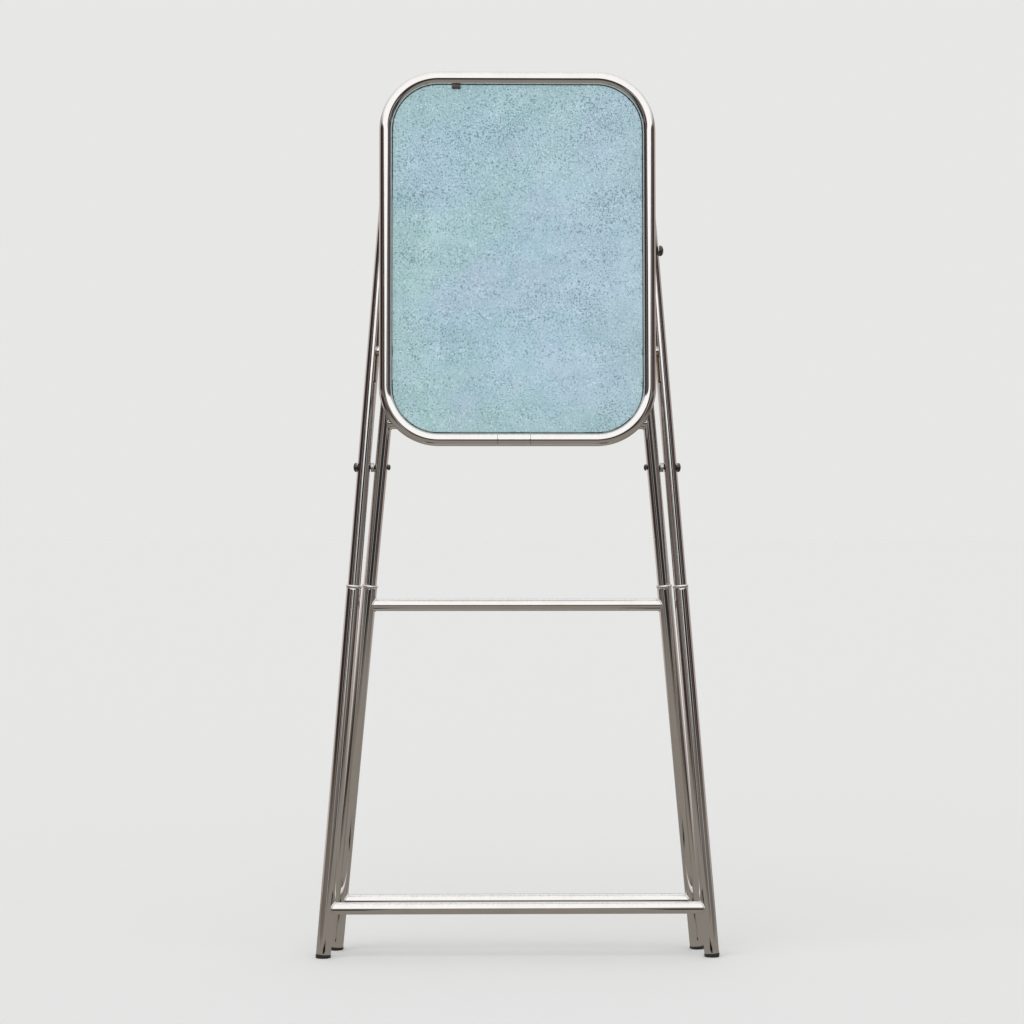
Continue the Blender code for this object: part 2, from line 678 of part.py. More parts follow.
def main():
    clear_scene()
    chrome = material("chrome", (0.80, 0.79, 0.78), 0.12, 1.0)
    zinc = material("zinc_steel", (0.55, 0.55, 0.54), 0.35, 1.0)
    dark_steel = material("dark_steel", (0.08, 0.075, 0.07), 0.4, 1.0)
    speckled = material("speckled_board", (0.36, 0.55, 0.62), 0.45, 0.0)
    fibre = material("fibre_board", (0.30, 0.20, 0.12), 0.7, 0.0)
    black = material("black_plastic", (0.015, 0.015, 0.016), 0.5, 0.0)
    knob = material("knob_plastic", (0.03, 0.02, 0.015), 0.3, 0.0)
    rubber = material("rubber", (0.03, 0.03, 0.03), 0.8, 0.0)

    front = axis_empty("front_frame_axis", FRONT_FRAME)
    rear = axis_empty("rear_frame_axis", REAR_FRAME)
    board = axis_empty("front_board_axis", BOARD_FRAME)
    turning = axis_empty("catch_axis", CATCH_FRAME)

    for side, word in ((-1, "left"), (1, "right")):
        lower_leg(f"front_leg_{word}", front_half, side, chrome, front)
        foot_plug(f"front_foot_{word}", front_half, side, FRONT_FRAME, black, front)
        lower_leg(f"rear_leg_{word}", rear_half, side, chrome, rear)
        foot_plug(f"rear_foot_{word}", rear_half, side, REAR_FRAME, black, rear)
        upper_rear_leg(f"rear_upper_leg_{word}", side, chrome, rear)
        end_cap(f"rear_leg_cap_{word}", side, black, rear)
        pivot_set(side, word, dark_steel, zinc, front)
    upper_hoop(chrome, front)
    cross_bar("front_foot_bar", front_half, FRONT_FOOT_BAR_HEIGHT, LEG_R, chrome, front)
    cross_bar("rear_foot_bar", rear_half, REAR_FOOT_BAR_HEIGHT, LEG_R, chrome, rear)
    cross_bar("middle_bar", rear_half, MIDDLE_BAR_HEIGHT, LEG_R, chrome, rear)
    cross_bar("hinge_bar", rear_half, HINGE_BAR_HEIGHT, HOOP_R, chrome, rear)

    rear_board(fibre, zinc, rubber, front)
    low, high = board_ring(chrome, board)
    panel = board_panel(low, high, speckled, board)
    panel_clips(low, high, zinc, board)
    board_hinges(panel, zinc, black, board)
    catch_keeper(zinc, board)
    catch(zinc, knob, turning)


main()
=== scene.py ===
# %% [markdown]
# # A trouser press on a folding stand
# Two frames of chromed steel tube cross at a bolted pivot and fold like scissors. The front frame is one long hoop
# plugged into two lower legs, and it carries a fixed board on two rails. The rear frame holds a hinge bar, and a
# speckled board in a round-cornered ring swings on that bar. Trousers hang between the two boards. Each cell below
# makes one group of pieces, and every piece rides on the body of the mechanism that it belongs to.

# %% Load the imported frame
import json
import math

import bmesh
import bpy
import numpy as np
from mathutils import Matrix, Vector


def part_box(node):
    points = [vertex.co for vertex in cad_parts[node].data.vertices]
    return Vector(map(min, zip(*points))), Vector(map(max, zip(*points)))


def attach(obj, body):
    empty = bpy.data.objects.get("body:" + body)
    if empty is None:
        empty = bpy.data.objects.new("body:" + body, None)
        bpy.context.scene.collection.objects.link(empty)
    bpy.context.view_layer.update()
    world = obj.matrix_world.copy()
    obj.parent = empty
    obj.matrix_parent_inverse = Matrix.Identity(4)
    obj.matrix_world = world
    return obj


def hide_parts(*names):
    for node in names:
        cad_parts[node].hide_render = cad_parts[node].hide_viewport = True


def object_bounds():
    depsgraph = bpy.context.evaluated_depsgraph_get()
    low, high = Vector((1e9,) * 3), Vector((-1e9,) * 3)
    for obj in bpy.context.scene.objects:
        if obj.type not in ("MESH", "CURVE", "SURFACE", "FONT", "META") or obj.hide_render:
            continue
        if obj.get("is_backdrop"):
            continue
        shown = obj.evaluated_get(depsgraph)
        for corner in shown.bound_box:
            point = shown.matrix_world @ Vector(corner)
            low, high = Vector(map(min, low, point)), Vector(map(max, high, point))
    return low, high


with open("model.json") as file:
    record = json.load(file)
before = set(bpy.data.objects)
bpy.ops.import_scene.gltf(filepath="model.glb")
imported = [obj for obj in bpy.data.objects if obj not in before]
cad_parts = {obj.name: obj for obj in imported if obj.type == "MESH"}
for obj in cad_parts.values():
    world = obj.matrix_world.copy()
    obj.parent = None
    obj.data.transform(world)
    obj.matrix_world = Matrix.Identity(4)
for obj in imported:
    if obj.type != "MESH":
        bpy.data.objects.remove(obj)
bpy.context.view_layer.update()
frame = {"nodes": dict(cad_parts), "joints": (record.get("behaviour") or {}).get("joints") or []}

MM = 0.001
scene = bpy.context.scene

# %% [markdown]
# ## The places of the four bodies
# Each tube frame is flat, and leans a few degrees. It is far easier to draw a flat thing flat, so each body gets a
# matrix: its origin is a point of its joint, X runs along the bars, Z runs up the frame and Y is its thickness. The
# lean isn't typed in. It follows from the two hinge points, because both lie on the rear frame's middle plane.

# %% Matrices of the bodies
joint_at = {joint["name"]: Vector(joint["pos_m"]) for joint in frame["joints"]}
PIVOT = joint_at["leg_fold"]
HINGE = joint_at["board_swing"]
LEAN = math.atan2(PIVOT.y - HINGE.y, HINGE.z - PIVOT.z)


def leaning(origin, angle):
    return Matrix.Translation(origin) @ Matrix.Rotation(angle, 4, "X")


FRONT = leaning(PIVOT, -LEAN)
REAR = leaning(PIVOT, LEAN)
BOARD = leaning(HINGE, -LEAN)
CATCH = leaning(joint_at["catch_turn"], -LEAN)
print("the frames lean", round(math.degrees(LEAN), 2), "degrees each way")

# %% [markdown]
# ## Measuring the frame
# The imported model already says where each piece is. `corners` reads a node's box along the axes of its own body, so
# that a leaning bar measures as thick as it is. `leg_line` finds the middle line of a splayed leg: a turned shape is
# even about its axis, so the mean of its points lies on that axis and their widest spread runs along it.

# %% Helpers that measure


def points_of(node, place):
    turn = place.inverted()
    return np.array(sorted({tuple(round(c, 6) for c in turn @ v.co) for v in frame["nodes"][node].data.vertices}))


def corners(node, place):
    """The lowest and highest corner of a CAD node along the axes of a place."""
    points = points_of(node, place)
    return Vector(points.min(axis=0)), Vector(points.max(axis=0))


def radius_of(node, place):
    """The radius of a tube that lies in its frame's plane: half its thickness along Y."""
    low, high = corners(node, place)
    return (high.y - low.y) / 2


def leg_line(node, place):
    """A function that gives the leg's distance from the middle of the stand at a height up its frame."""
    points = points_of(node, place)
    middle = points.mean(axis=0)
    along = np.linalg.eigh(np.cov((points - middle).T))[1][:, 2]
    return lambda z: float(middle[0] + along[0] / along[2] * (z - middle[2]))


front_half = leg_line("front_leg_right", FRONT)
rear_half = leg_line("rear_leg_right", REAR)
BAR_R = radius_of("middle_bar", REAR)
TUBE_R = radius_of("rear_upper_leg_right", REAR)
LIP = 0.7 * MM
LEG_R = radius_of("front_leg_right", FRONT) - LIP
WALL = 1.0 * MM
LEG_WALL = 0.7 * MM
print("radius of bars, upper tubes and legs:", [round(r / MM, 2) for r in (BAR_R, TUBE_R, LEG_R)], "mm")

# %% [markdown]
# ## Camera, floor and light
# The camera stands straight before the press at half its height, a little to the left, with a long lens, so that
# upright tubes stay upright. Chrome has no colour of its own: it shows the room. So the room is made for it. What a
# shiny surface sees is a world with a bright ceiling, a dark band at eye level and a floor that shows a painted brown
# glow in reflections only, while matt surfaces get an even white light and the background stays plain.

# %% Camera
CAMERA_BACK = 3.294
CAMERA_LEFT = 0.069
CAMERA_HEIGHT = 0.5355
TURN = math.radians(-1.09)
PITCH = math.radians(-0.12)
LENS = 96.68

camera_data = bpy.data.cameras.new("camera")
camera_data.lens = LENS
camera_data.sensor_width = 36
camera = bpy.data.objects.new("camera", camera_data)
camera.location = (-CAMERA_LEFT, -CAMERA_BACK, CAMERA_HEIGHT)
camera.rotation_euler = (math.pi / 2 + PITCH, 0, TURN)
scene.collection.objects.link(camera)
scene.camera = camera

# %% A short way to write node trees


def node(tree, kind, feeds=None, **settings):
    """Adds a node. feeds sets its inputs, by name or number, to a value or to another node's output."""
    made = tree.nodes.new(kind)
    for key, value in settings.items():
        setattr(made, key, value)
    for key, value in (feeds or {}).items():
        if isinstance(value, bpy.types.NodeSocket):
            tree.links.new(value, made.inputs[key])
        else:
            made.inputs[key].default_value = value
    return made


def tree_of(*values):
    """The tree that a socket among the values belongs to."""
    return next(value.id_data for value in values if isinstance(value, bpy.types.NodeSocket))


def maths(operation, a, b=0.0, c=0.0):
    return node(tree_of(a, b, c), "ShaderNodeMath", {0: a, 1: b, 2: c}, operation=operation).outputs[0]


def ramp(factor, stops):
    """A colour ramp. A stop is (position, colour), and a colour may be one number for a grey."""
    made = node(factor.id_data, "ShaderNodeValToRGB", {0: factor})
    band = made.color_ramp
    while len(band.elements) < len(stops):
        band.elements.new(0.5)
    for element, (position, colour) in zip(band.elements, stops):
        element.position = position
        grey = isinstance(colour, (int, float))
        element.color = (colour, colour, colour, 1) if grey else (*colour, 1)
    return made.outputs[0]


def mixed(factor, a, b, blend="MIX"):
    """One colour over another. Inputs 0, 6 and 7 are the mix node's factor and its two colours."""
    made = node(tree_of(factor, a, b), "ShaderNodeMix", data_type="RGBA", blend_type=blend)
    for key, value in ((0, factor), (6, a), (7, b)):
        if isinstance(value, bpy.types.NodeSocket):
            value.id_data.links.new(value, made.inputs[key])
        else:
            made.inputs[key].default_value = value if key == 0 else (*value, 1)
    return made.outputs[2]


# %% The room that the chrome reflects
REFLECTED_FLOOR_BROWN = (0.270, 0.247, 0.215)
SKIRTING = (0.170, 0.150, 0.130)
CHARCOAL = (0.030, 0.028, 0.027)
PINKISH = (0.60, 0.53, 0.50)
REDDISH = (0.17, 0.105, 0.09)
SKYLIGHT = (0.78, 0.785, 0.79)
BACKGROUND = (0.80, 0.80, 0.79)


def height_stop(degrees, colour):
    return ((math.sin(math.radians(degrees)) + 1) / 2, colour)


def between(value, low, high, to_low=0.0, to_high=1.0):
    """0 to 1, or another span, as a value goes from one limit to the other."""
    feeds = {0: value, 1: low, 2: high, 3: to_low, 4: to_high}
    return node(value.id_data, "ShaderNodeMapRange", feeds).outputs[0]


def times(a, b):
    return maths("MULTIPLY", a, b)


world = bpy.data.worlds.new("studio")
scene.world = world
world.use_nodes = True
tree = world.node_tree
tree.nodes.clear()
spot = node(tree, "ShaderNodeTexCoord").outputs["Generated"]
axes = node(tree, "ShaderNodeSeparateXYZ", {0: spot})
side, back, up = axes.outputs
up_part = maths("MULTIPLY_ADD", up, 0.5, 0.5)
turn = maths("ARCTAN2", side, times(back, -1.0))
round_part = maths("MULTIPLY_ADD", turn, 0.5 / math.pi, 0.5)
wall_heights = [(-90, CHARCOAL), (-4, CHARCOAL), (-1.2, SKIRTING), (1.2, SKIRTING), (3, CHARCOAL), (14, CHARCOAL)]
wall_heights += [(24, 0.75), (60, 1.05)]
wall = ramp(up_part, [height_stop(*stop) for stop in wall_heights])

# Round the room, from straight behind the press by its left to its front and on by its right: pale door frames and
# reddish curtains, as (place, colour) stops that only ever lighten the dark wall.
frames = [(0.0, PINKISH), (0.19, PINKISH), (0.215, 0.0)]
frames += [(0.345, 0.0), (0.355, (0.20, 0.13, 0.11)), (0.385, (0.24, 0.17, 0.15)), (0.395, 0.0)]
frames += [(0.435, 0.0), (0.443, 0.42), (0.455, 0.42), (0.463, 0.0)]
frames += [(0.585, 0.0), (0.593, 0.40), (0.61, 0.40), (0.618, 0.0)]
frames += [(0.655, 0.0), (0.665, REDDISH), (0.69, REDDISH), (0.70, 0.0)]
frames += [(0.765, 0.0), (0.785, (0.42, 0.37, 0.35))]
edges = ramp(round_part, frames)
level = between(maths("ABSOLUTE", up), 0.34, 0.22)
room = mixed(level, wall, mixed(1.0, wall, edges, "LIGHTEN"))

# The window behind the camera widens upwards.
sideways = maths("ABSOLUTE", side)
half_widths = [(1, 0.07), (6, 0.10), (10, 0.34), (18, 0.9)]
opening = ramp(up_part, [height_stop(*stop) for stop in half_widths])
in_window = between(maths("SUBTRACT", opening, sideways), 0.0, 0.05)
in_window = times(in_window, between(up, 0.005, 0.03))
facing = between(back, 0.10, -0.10)
room = mixed(times(in_window, facing), room, (1.15, 1.14, 1.13))
path = node(tree, "ShaderNodeLightPath")
seen = mixed(path.outputs["Is Glossy Ray"], SKYLIGHT, room)
seen = mixed(path.outputs["Is Camera Ray"], seen, BACKGROUND)
glow = node(tree, "ShaderNodeBackground", {0: seen, 1: 1.0})
node(tree, "ShaderNodeOutputWorld", {0: glow.outputs[0]})
print("the room has", len(tree.nodes), "nodes")

# %% Soft lamps and the floor
FLOOR_SIZE = 90.0
for name, spot, strength, softness in (
    ("key_light", (-0.9, -1.6, 1.7), 1.0, 70),
    ("fill_light", (1.5, -1.2, 1.0), 0.35, 80),
    ("rear_light", (0.3, 1.6, 1.4), 0.35, 80),
):
    lamp = bpy.data.lights.new(name, "SUN")
    lamp.energy = strength
    lamp.angle = math.radians(softness)
    holder = bpy.data.objects.new(name, lamp)
    holder.location = spot
    holder.rotation_euler = (-Vector(spot)).to_track_quat("-Z", "Y").to_euler()
    holder.visible_glossy = False
    scene.collection.objects.link(holder)

floor_mesh = bpy.data.meshes.new("floor")
half = FLOOR_SIZE / 2
sheet = [(-half, -half, 0), (half, -half, 0), (half, half, 0), (-half, half, 0)]
floor_mesh.from_pydata(sheet, [], [(0, 1, 2, 3)])
floor = bpy.data.objects.new("floor", floor_mesh)
scene.collection.objects.link(floor)
paper = bpy.data.materials.new("floor_paper")
paper.use_nodes = True
tree = paper.node_tree
pale = tree.nodes["Principled BSDF"]
pale.inputs["Base Color"].default_value = (0.70, 0.70, 0.69, 1)
pale.inputs["Roughness"].default_value = 0.9

# Painted reflection: to reflected rays only, the floor glows as a brown sheet that fades out between 1.2 and 2.6
# metres away, with a dark strip painted in front of each rear leg.
spot = node(tree, "ShaderNodeTexCoord").outputs["Object"]
floor_x, floor_y, _ = node(tree, "ShaderNodeSeparateXYZ", {0: spot}).outputs
away = node(tree, "ShaderNodeVectorMath", {0: spot}, operation="LENGTH").outputs["Value"]
ahead = times(floor_y, -1.0)
REAR_LEG_X = 0.215
beside = maths("ABSOLUTE", maths("SUBTRACT", maths("ABSOLUTE", floor_x), REAR_LEG_X))
# Painted dark reflection: this strip puts a dark line down the middle of each rear leg's chrome.
painted_dark_strip = between(maths("DIVIDE", beside, ahead), 0.30, 0.20)
painted_dark_strip = times(painted_dark_strip, between(ahead, 0.10, 0.14))
painted_dark_strip = times(painted_dark_strip, between(ahead, 0.34, 0.26))
# The brown sheet is an emission, a painted glow that only the chrome shows.
reflected_glow = node(tree, "ShaderNodeEmission", {0: mixed(painted_dark_strip, REFLECTED_FLOOR_BROWN, (0.010, 0.009, 0.009)), 1: 1.0})
beyond = node(tree, "ShaderNodeBsdfTransparent")
reflection_fade = between(away, 1.2, 2.6)
mirrored = node(tree, "ShaderNodeMixShader", {0: reflection_fade, 1: reflected_glow.outputs[0], 2: beyond.outputs[0]})
glossy = node(tree, "ShaderNodeLightPath").outputs["Is Glossy Ray"]
surface = node(tree, "ShaderNodeMixShader", {0: glossy, 1: pale.outputs[0], 2: mirrored.outputs[0]})
tree.links.new(surface.outputs[0], tree.nodes["Material Output"].inputs["Surface"])
floor_mesh.materials.append(paper)
floor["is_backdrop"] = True
scene.view_settings.view_transform = "Standard"

# %% [markdown]
# ## Effects that several finishes share
# A new part looks false because it is even. Handled chrome has patches where a cloth or a hand went, tiny pits where
# rust comes through the plating, and hairline scratches along the tube. Each of these is made once, as a node group
# with named inputs, and every material places it with its own values. A group gives out masks only. They are built
# on Object coordinates, so that a pattern keeps its real size on every piece.

# %% The shared groups


def new_group(name, inputs, outputs):
    """A shader node group: its tree, its inputs by name, and a function that feeds one of its outputs."""
    group = bpy.data.node_groups.new(name, "ShaderNodeTree")
    for label, value in inputs:
        group.interface.new_socket(label, in_out="INPUT", socket_type="NodeSocketFloat").default_value = value
    for label in outputs:
        group.interface.new_socket(label, in_out="OUTPUT", socket_type="NodeSocketFloat")
    source = node(group, "NodeGroupInput")
    sink = node(group, "NodeGroupOutput")
    spot = node(group, "ShaderNodeTexCoord").outputs["Object"]
    return group, source.outputs, spot, lambda label, value: group.links.new(value, sink.inputs[label])


def clouds(spot, scale, detail=4.0, rough=0.55):
    feeds = {"Vector": spot, "Scale": scale, "Detail": detail, "Roughness": rough}
    return node(spot.id_data, "ShaderNodeTexNoise", feeds).outputs[0]


patches, given, spot, put = new_group("patches", [("Size", 30.0), ("Start", 0.5), ("Full", 0.7)], ["Mask"])
put("Mask", between(clouds(spot, given["Size"]), given["Start"], given["Full"]))

pits, given, spot, put = new_group("pits", [("Size", 900.0), ("Start", 0.7), ("Full", 0.76)], ["Mask"])
where = between(clouds(spot, 14.0, 2.0), 0.42, 0.66)
dots = between(clouds(spot, given["Size"], 1.5, 0.5), given["Start"], given["Full"])
put("Mask", times(dots, where))

scratches, given, spot, put = new_group("scratches", [("Size", 260.0), ("Start", 0.62), ("Full", 0.7)], ["Mask"])
longways = node(scratches, "ShaderNodeMapping", {0: spot, 3: (1.0, 1.0, 0.02), 2: (0.0, 0.035, 0.0)}).outputs[0]
across = node(scratches, "ShaderNodeMapping", {0: spot, 3: (0.03, 1.0, 1.0), 2: (0.0, 0.0, 0.06)}).outputs[0]
lines = []
for way in (longways, across):
    lines.append(between(clouds(way, given["Size"], 2.0), given["Start"], given["Full"]))
put("Mask", maths("MAXIMUM", *lines))

dust, given, spot, put = new_group("dust", [("Amount", 0.5), ("Size", 300.0)], ["Mask"])
normal = node(dust, "ShaderNodeNewGeometry").outputs["Normal"]
upward = node(dust, "ShaderNodeSeparateXYZ", {0: normal}).outputs[2]
speckle = between(clouds(spot, given["Size"]), 0.4, 0.65)
lies = times(between(upward, 0.3, 1.0), speckle)
put("Mask", times(lies, given["Amount"]))
GROUPS = {"patches": patches, "pits": pits, "scratches": scratches, "dust": dust}
print("shared groups:", ", ".join(GROUPS))

# %% [markdown]
# ## The finishes
# Every material starts from one shader whose fixed numbers are set on its own sockets. Only what changes over the
# surface is wired: colour, roughness and the height of a bump.

# %% Helpers for materials
DUST = (0.42, 0.40, 0.37)
slot_of = {}


class Finish:
    """A material with its shader, and short ways to feed it."""

    def __init__(self, name, **fixed):
        self.material = bpy.data.materials.new(name)
        self.material.use_nodes = True
        slot_of[self.material.name] = name
        self.tree = self.material.node_tree
        self.shader = self.tree.nodes["Principled BSDF"]
        for key, value in fixed.items():
            self.shader.inputs[key.replace("_", " ")].default_value = value
        self.spot = node(self.tree, "ShaderNodeTexCoord").outputs["Object"]

    def mask(self, group, **values):
        made = node(self.tree, "ShaderNodeGroup", node_tree=GROUPS[group])
        for key, value in values.items():
            made.inputs[key].default_value = value
        return made.outputs["Mask"]

    def feed(self, key, value):
        self.tree.links.new(value, self.shader.inputs[key])

    def bump(self, height, strength, distance):
        made = node(self.tree, "ShaderNodeBump", {"Height": height, "Strength": strength, "Distance": distance})
        self.feed("Normal", made.outputs[0])


def metal(name, clean, dull, rough, rougher, pit, pit_start, wave):
    """A metal finish: clean and dull colours, roughness where clean and where handled, pits and a gentle wave."""
    made = Finish(name, Metallic=1.0)
    handled = made.mask("patches", Size=34.0, Start=0.48, Full=0.72)
    pitted = made.mask("pits", Size=1100.0, Start=pit_start, Full=pit_start + 0.05)
    scored = made.mask("scratches", Size=900.0, Start=0.66, Full=0.74)
    dusty = made.mask("dust", Amount=0.35)
    colour = mixed(times(handled, 0.35), clean, dull)
    colour = mixed(pitted, colour, pit)
    colour = mixed(dusty, colour, DUST)
    made.feed("Base Color", colour)
    worn = maths("MAXIMUM", times(handled, 0.6), scored)
    worn = maths("MAXIMUM", worn, times(dusty, 1.6))
    worn = maths("MAXIMUM", worn, pitted)
    made.feed("Roughness", between(worn, 0.0, 1.0, rough, rougher))
    swell = times(clouds(made.spot, 26.0, 1.0), wave)
    made.bump(maths("SUBTRACT", swell, times(pitted, 0.12)), 0.35, 0.0012)
    return made.material


def moulded(name, colour, pale, rough, grain_size, grain, dusting, **fixed):
    """A moulded plastic or rubber finish: fine grain, faint scuffs and settled dust."""
    made = Finish(name, **fixed)
    scuffed = made.mask("scratches", Size=420.0, Start=0.6, Full=0.75)
    dusty = made.mask("dust", Amount=dusting, Size=240.0)
    tone = mixed(made.mask("patches", Size=60.0, Start=0.35, Full=0.75), colour, pale)
    tone = mixed(times(scuffed, 0.25), tone, [3.0 * c + 0.02 for c in colour])
    made.feed("Base Color", mixed(dusty, tone, (0.30, 0.28, 0.25)))
    made.feed("Roughness", between(maths("MAXIMUM", scuffed, dusty), 0.0, 1.0, rough, rough + 0.25))
    made.bump(clouds(made.spot, grain_size, 3.0), grain, 0.0004)
    return made.material


# %% Metals, plastics and rubber
chrome = metal("chrome", (0.83, 0.815, 0.805), (0.74, 0.71, 0.69), 0.03, 0.16, (0.13, 0.075, 0.04), 0.75, 0.12)
zinc = metal("zinc_steel", (0.60, 0.60, 0.58), (0.46, 0.45, 0.42), 0.30, 0.55, (0.22, 0.17, 0.12), 0.66, 0.25)
dark_steel = metal("dark_steel", (0.11, 0.10, 0.095), (0.07, 0.055, 0.045), 0.32, 0.6, (0.16, 0.07, 0.03), 0.62, 0.2)
black = moulded("black_plastic", (0.014, 0.014, 0.015), (0.026, 0.025, 0.024), 0.42, 1500.0, 0.25, 0.6)
knob_finish = moulded(
    "knob_plastic", (0.030, 0.017, 0.012), (0.040, 0.024, 0.016), 0.24, 700.0, 0.05, 0.35, Coat_Weight=0.4
)
rubber = moulded("rubber", (0.030, 0.030, 0.029), (0.048, 0.045, 0.042), 0.78, 1100.0, 0.4, 0.7)
print("metals and plastics are mixed")

# %% [markdown]
# ## The speckled sheet
# The pressing face is a hard sheet with a printed speckle: fine slate-blue flecks and fainter pale ones on a pale
# blue-green ground, slightly greener near its edges. Noise of about two millimetres gives the flecks; a slow noise
# makes them crowd in some places, as on a sprayed print. A soft sheen and a very fine texture finish the surface.

# %% Speckled and fibre finishes
panel_low, panel_high = corners("board_panel", BOARD)
PANEL_MIDDLE = sum((Vector(corner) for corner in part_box("board_panel")), Vector()) / 2
panel_size = panel_high - panel_low

speckled = Finish("speckled_board", Specular_IOR_Level=0.35)
tree = speckled.tree
local = node(tree, "ShaderNodeMapping", {0: speckled.spot, 1: tuple(-c for c in PANEL_MIDDLE)}).outputs[0]
local_x, _, local_z = node(tree, "ShaderNodeSeparateXYZ", {0: local}).outputs
from_side = between(maths("ABSOLUTE", local_x), panel_size.x * 0.27, panel_size.x * 0.5)
from_end = between(maths("ABSOLUTE", local_z), panel_size.z * 0.40, panel_size.z * 0.5)
margin = maths("MAXIMUM", from_side, from_end)
slow = clouds(speckled.spot, 9.0, 3.0)


def elsewhere(*shift):
    """The same coordinates moved away, so that a second noise doesn't follow the first."""
    return node(tree, "ShaderNodeMapping", {0: speckled.spot, 1: shift}).outputs[0]


lilac_noise = clouds(elsewhere(7.3, 2.9, 4.1), 11.0, 3.0)
shade_noise = clouds(elsewhere(1.9, 8.2, 6.7), 20.0, 4.0, 0.6)
greener = maths("MULTIPLY_ADD", margin, 0.6, between(slow, 0.40, 0.62, 0.0, 0.75))
bluer = between(local_x, -0.02, 0.13)
ground = mixed(greener, (0.355, 0.530, 0.640), (0.345, 0.535, 0.535))
lilac = between(lilac_noise, 0.47, 0.66, 0.0, 0.75)
lilac = times(lilac, maths("SUBTRACT", 1.0, margin))
ground = mixed(lilac, ground, (0.410, 0.500, 0.650))
ground = mixed(times(bluer, 0.45), ground, (0.430, 0.560, 0.680))
cloudy = clouds(speckled.spot, 55.0, 4.0, 0.65)
ground = mixed(between(cloudy, 0.36, 0.64, 0.0, 0.35), ground, (0.53, 0.68, 0.76))
# Besides random clouds of darker tone, the ground also darkens a little towards the top of the sheet.
higher = between(local_z, panel_size.z * 0.1, panel_size.z * 0.5, 0.0, 0.10)
shade = maths("ADD", between(shade_noise, 0.36, 0.64, 0.0, 0.26), higher)
ground = mixed(shade, ground, (0.190, 0.330, 0.375))
crowd = maths("ADD", clouds(speckled.spot, 16.0, 3.0), times(local_z, 0.35))
crowd = between(crowd, 0.3, 0.72)
fleck_noise = clouds(speckled.spot, 520.0, 2.5, 0.6)
limit = maths("MULTIPLY_ADD", crowd, -0.08, 0.568)
flecks = times(maths("SUBTRACT", fleck_noise, limit), 8.0)
flecks = node(tree, "ShaderNodeClamp", {0: flecks}).outputs[0]
pale_noise = clouds(elsewhere(3.1, 1.7, 5.3), 480.0, 2.0)
pale_flecks = between(pale_noise, 0.54, 0.68, 0.0, 0.75)
colour = mixed(pale_flecks, ground, (0.60, 0.72, 0.78))
colour = mixed(times(flecks, 0.85), colour, (0.12, 0.205, 0.24))
scored = speckled.mask("scratches", Size=300.0, Start=0.63, Full=0.75)
colour = mixed(times(scored, 0.12), colour, (0.62, 0.70, 0.74))
speckled.feed("Base Color", colour)
matt = maths("ADD", times(scored, 0.5), cloudy)
speckled.feed("Roughness", between(matt, 0.3, 1.0, 0.42, 0.62))
texture = maths("ADD", clouds(speckled.spot, 1400.0, 2.0), times(fleck_noise, 0.7))
speckled.bump(texture, 0.22, 0.0003)

fibre = Finish("fibre_board")
tree = fibre.tree
strand_spot = node(tree, "ShaderNodeMapping", {0: fibre.spot, 3: (1.0, 1.0, 0.35), 2: (0.0, 0.4, 0.0)}).outputs[0]
strands = clouds(strand_spot, 900.0, 5.0, 0.7)
blotches = fibre.mask("patches", Size=18.0, Start=0.35, Full=0.7)
colour = mixed(between(strands, 0.35, 0.65), (0.20, 0.125, 0.07), (0.36, 0.25, 0.155))
colour = mixed(times(blotches, 0.4), colour, (0.17, 0.105, 0.06))
colour = mixed(fibre.mask("dust", Amount=0.5), colour, (0.42, 0.38, 0.33))
fibre.feed("Base Color", colour)
fibre.feed("Roughness", between(strands, 0.3, 0.7, 0.55, 0.85))
fibre.bump(strands, 0.35, 0.0004)
speckled = speckled.material
fibre = fibre.material
print("the panel measures", [round(side / MM, 1) for side in panel_size], "mm")

# %% [markdown]
# ## Shapes that are turned, pressed and cut
# Most small parts come from a lathe or a press, and so do these. `turned` spins an outline of radius and height
# about a line, which makes tubes, plugs, caps, bolts and the knob. `softened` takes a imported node's own solid, joins
# its loose triangles and rounds its hard edges, since a perfectly sharp edge never catches the light as a filed or
# moulded one does.

# %% Helpers that make meshes


def toward(direction, origin=(0, 0, 0)):
    """A place whose Z runs along a direction."""
    return Matrix.Translation(origin) @ Vector(direction).to_track_quat("Z", "Y").to_matrix().to_4x4()


def hexed(angle):
    """How far a hexagon's flat side lies from its middle at an angle, as a part of its corner's distance."""
    sixth = math.pi / 3
    return math.cos(sixth / 2) / math.cos((angle % sixth) - sixth / 2)


def quarter(steps, parts=None):
    """The cosine and sine of each step of a quarter turn, after its start."""
    parts = parts or steps
    return [(math.cos(math.pi / 2 * k / parts) if k < parts else 0.0, math.sin(math.pi / 2 * k / parts))
            for k in range(1, steps + 1)]


def steadied(outline):
    """Adds a point 1 mm from each end of a long straight run, so that the rounding at its ends doesn't shade it."""
    made = []
    for k, point in enumerate(outline):
        made.append(point)
        on = outline[(k + 1) % len(outline)]
        run = math.hypot(on[0] - point[0], on[1] - point[1])
        if run > 6 * MM and point[0] > 0 and on[0] > 0:
            for part in (MM / run, 1 - MM / run):
                made.append(tuple(a + (b - a) * part for a, b in zip(point, on)))
    return made


LATHE_SIDES = 64


def turned(outline, place, sides):
    """Spins (radius, height) points about the place's Z. A third number from 0 to 1 turns the round into a hexagon."""
    shape = bmesh.new()
    rings = []
    for radius, height, *hexagon in steadied(outline):
        if radius == 0:
            rings.append([shape.verts.new(place @ Vector((0, 0, height)))] * sides)
            continue
        ring = []
        for k in range(sides):
            angle = 2 * math.pi * k / sides
            r = radius * (1 + (hexed(angle) - 1) * hexagon[0]) if hexagon else radius
            ring.append(shape.verts.new(place @ Vector((r * math.cos(angle), r * math.sin(angle), height))))
        rings.append(ring)
    pairs = list(zip(rings, rings[1:]))
    if outline[0][0] > 0:
        pairs.append((rings[-1], rings[0]))
    for a, b in pairs:
        for k in range(sides):
            m = (k + 1) % sides
            shape.faces.new(list(dict.fromkeys((a[k], a[m], b[m], b[k]))))
    return shape


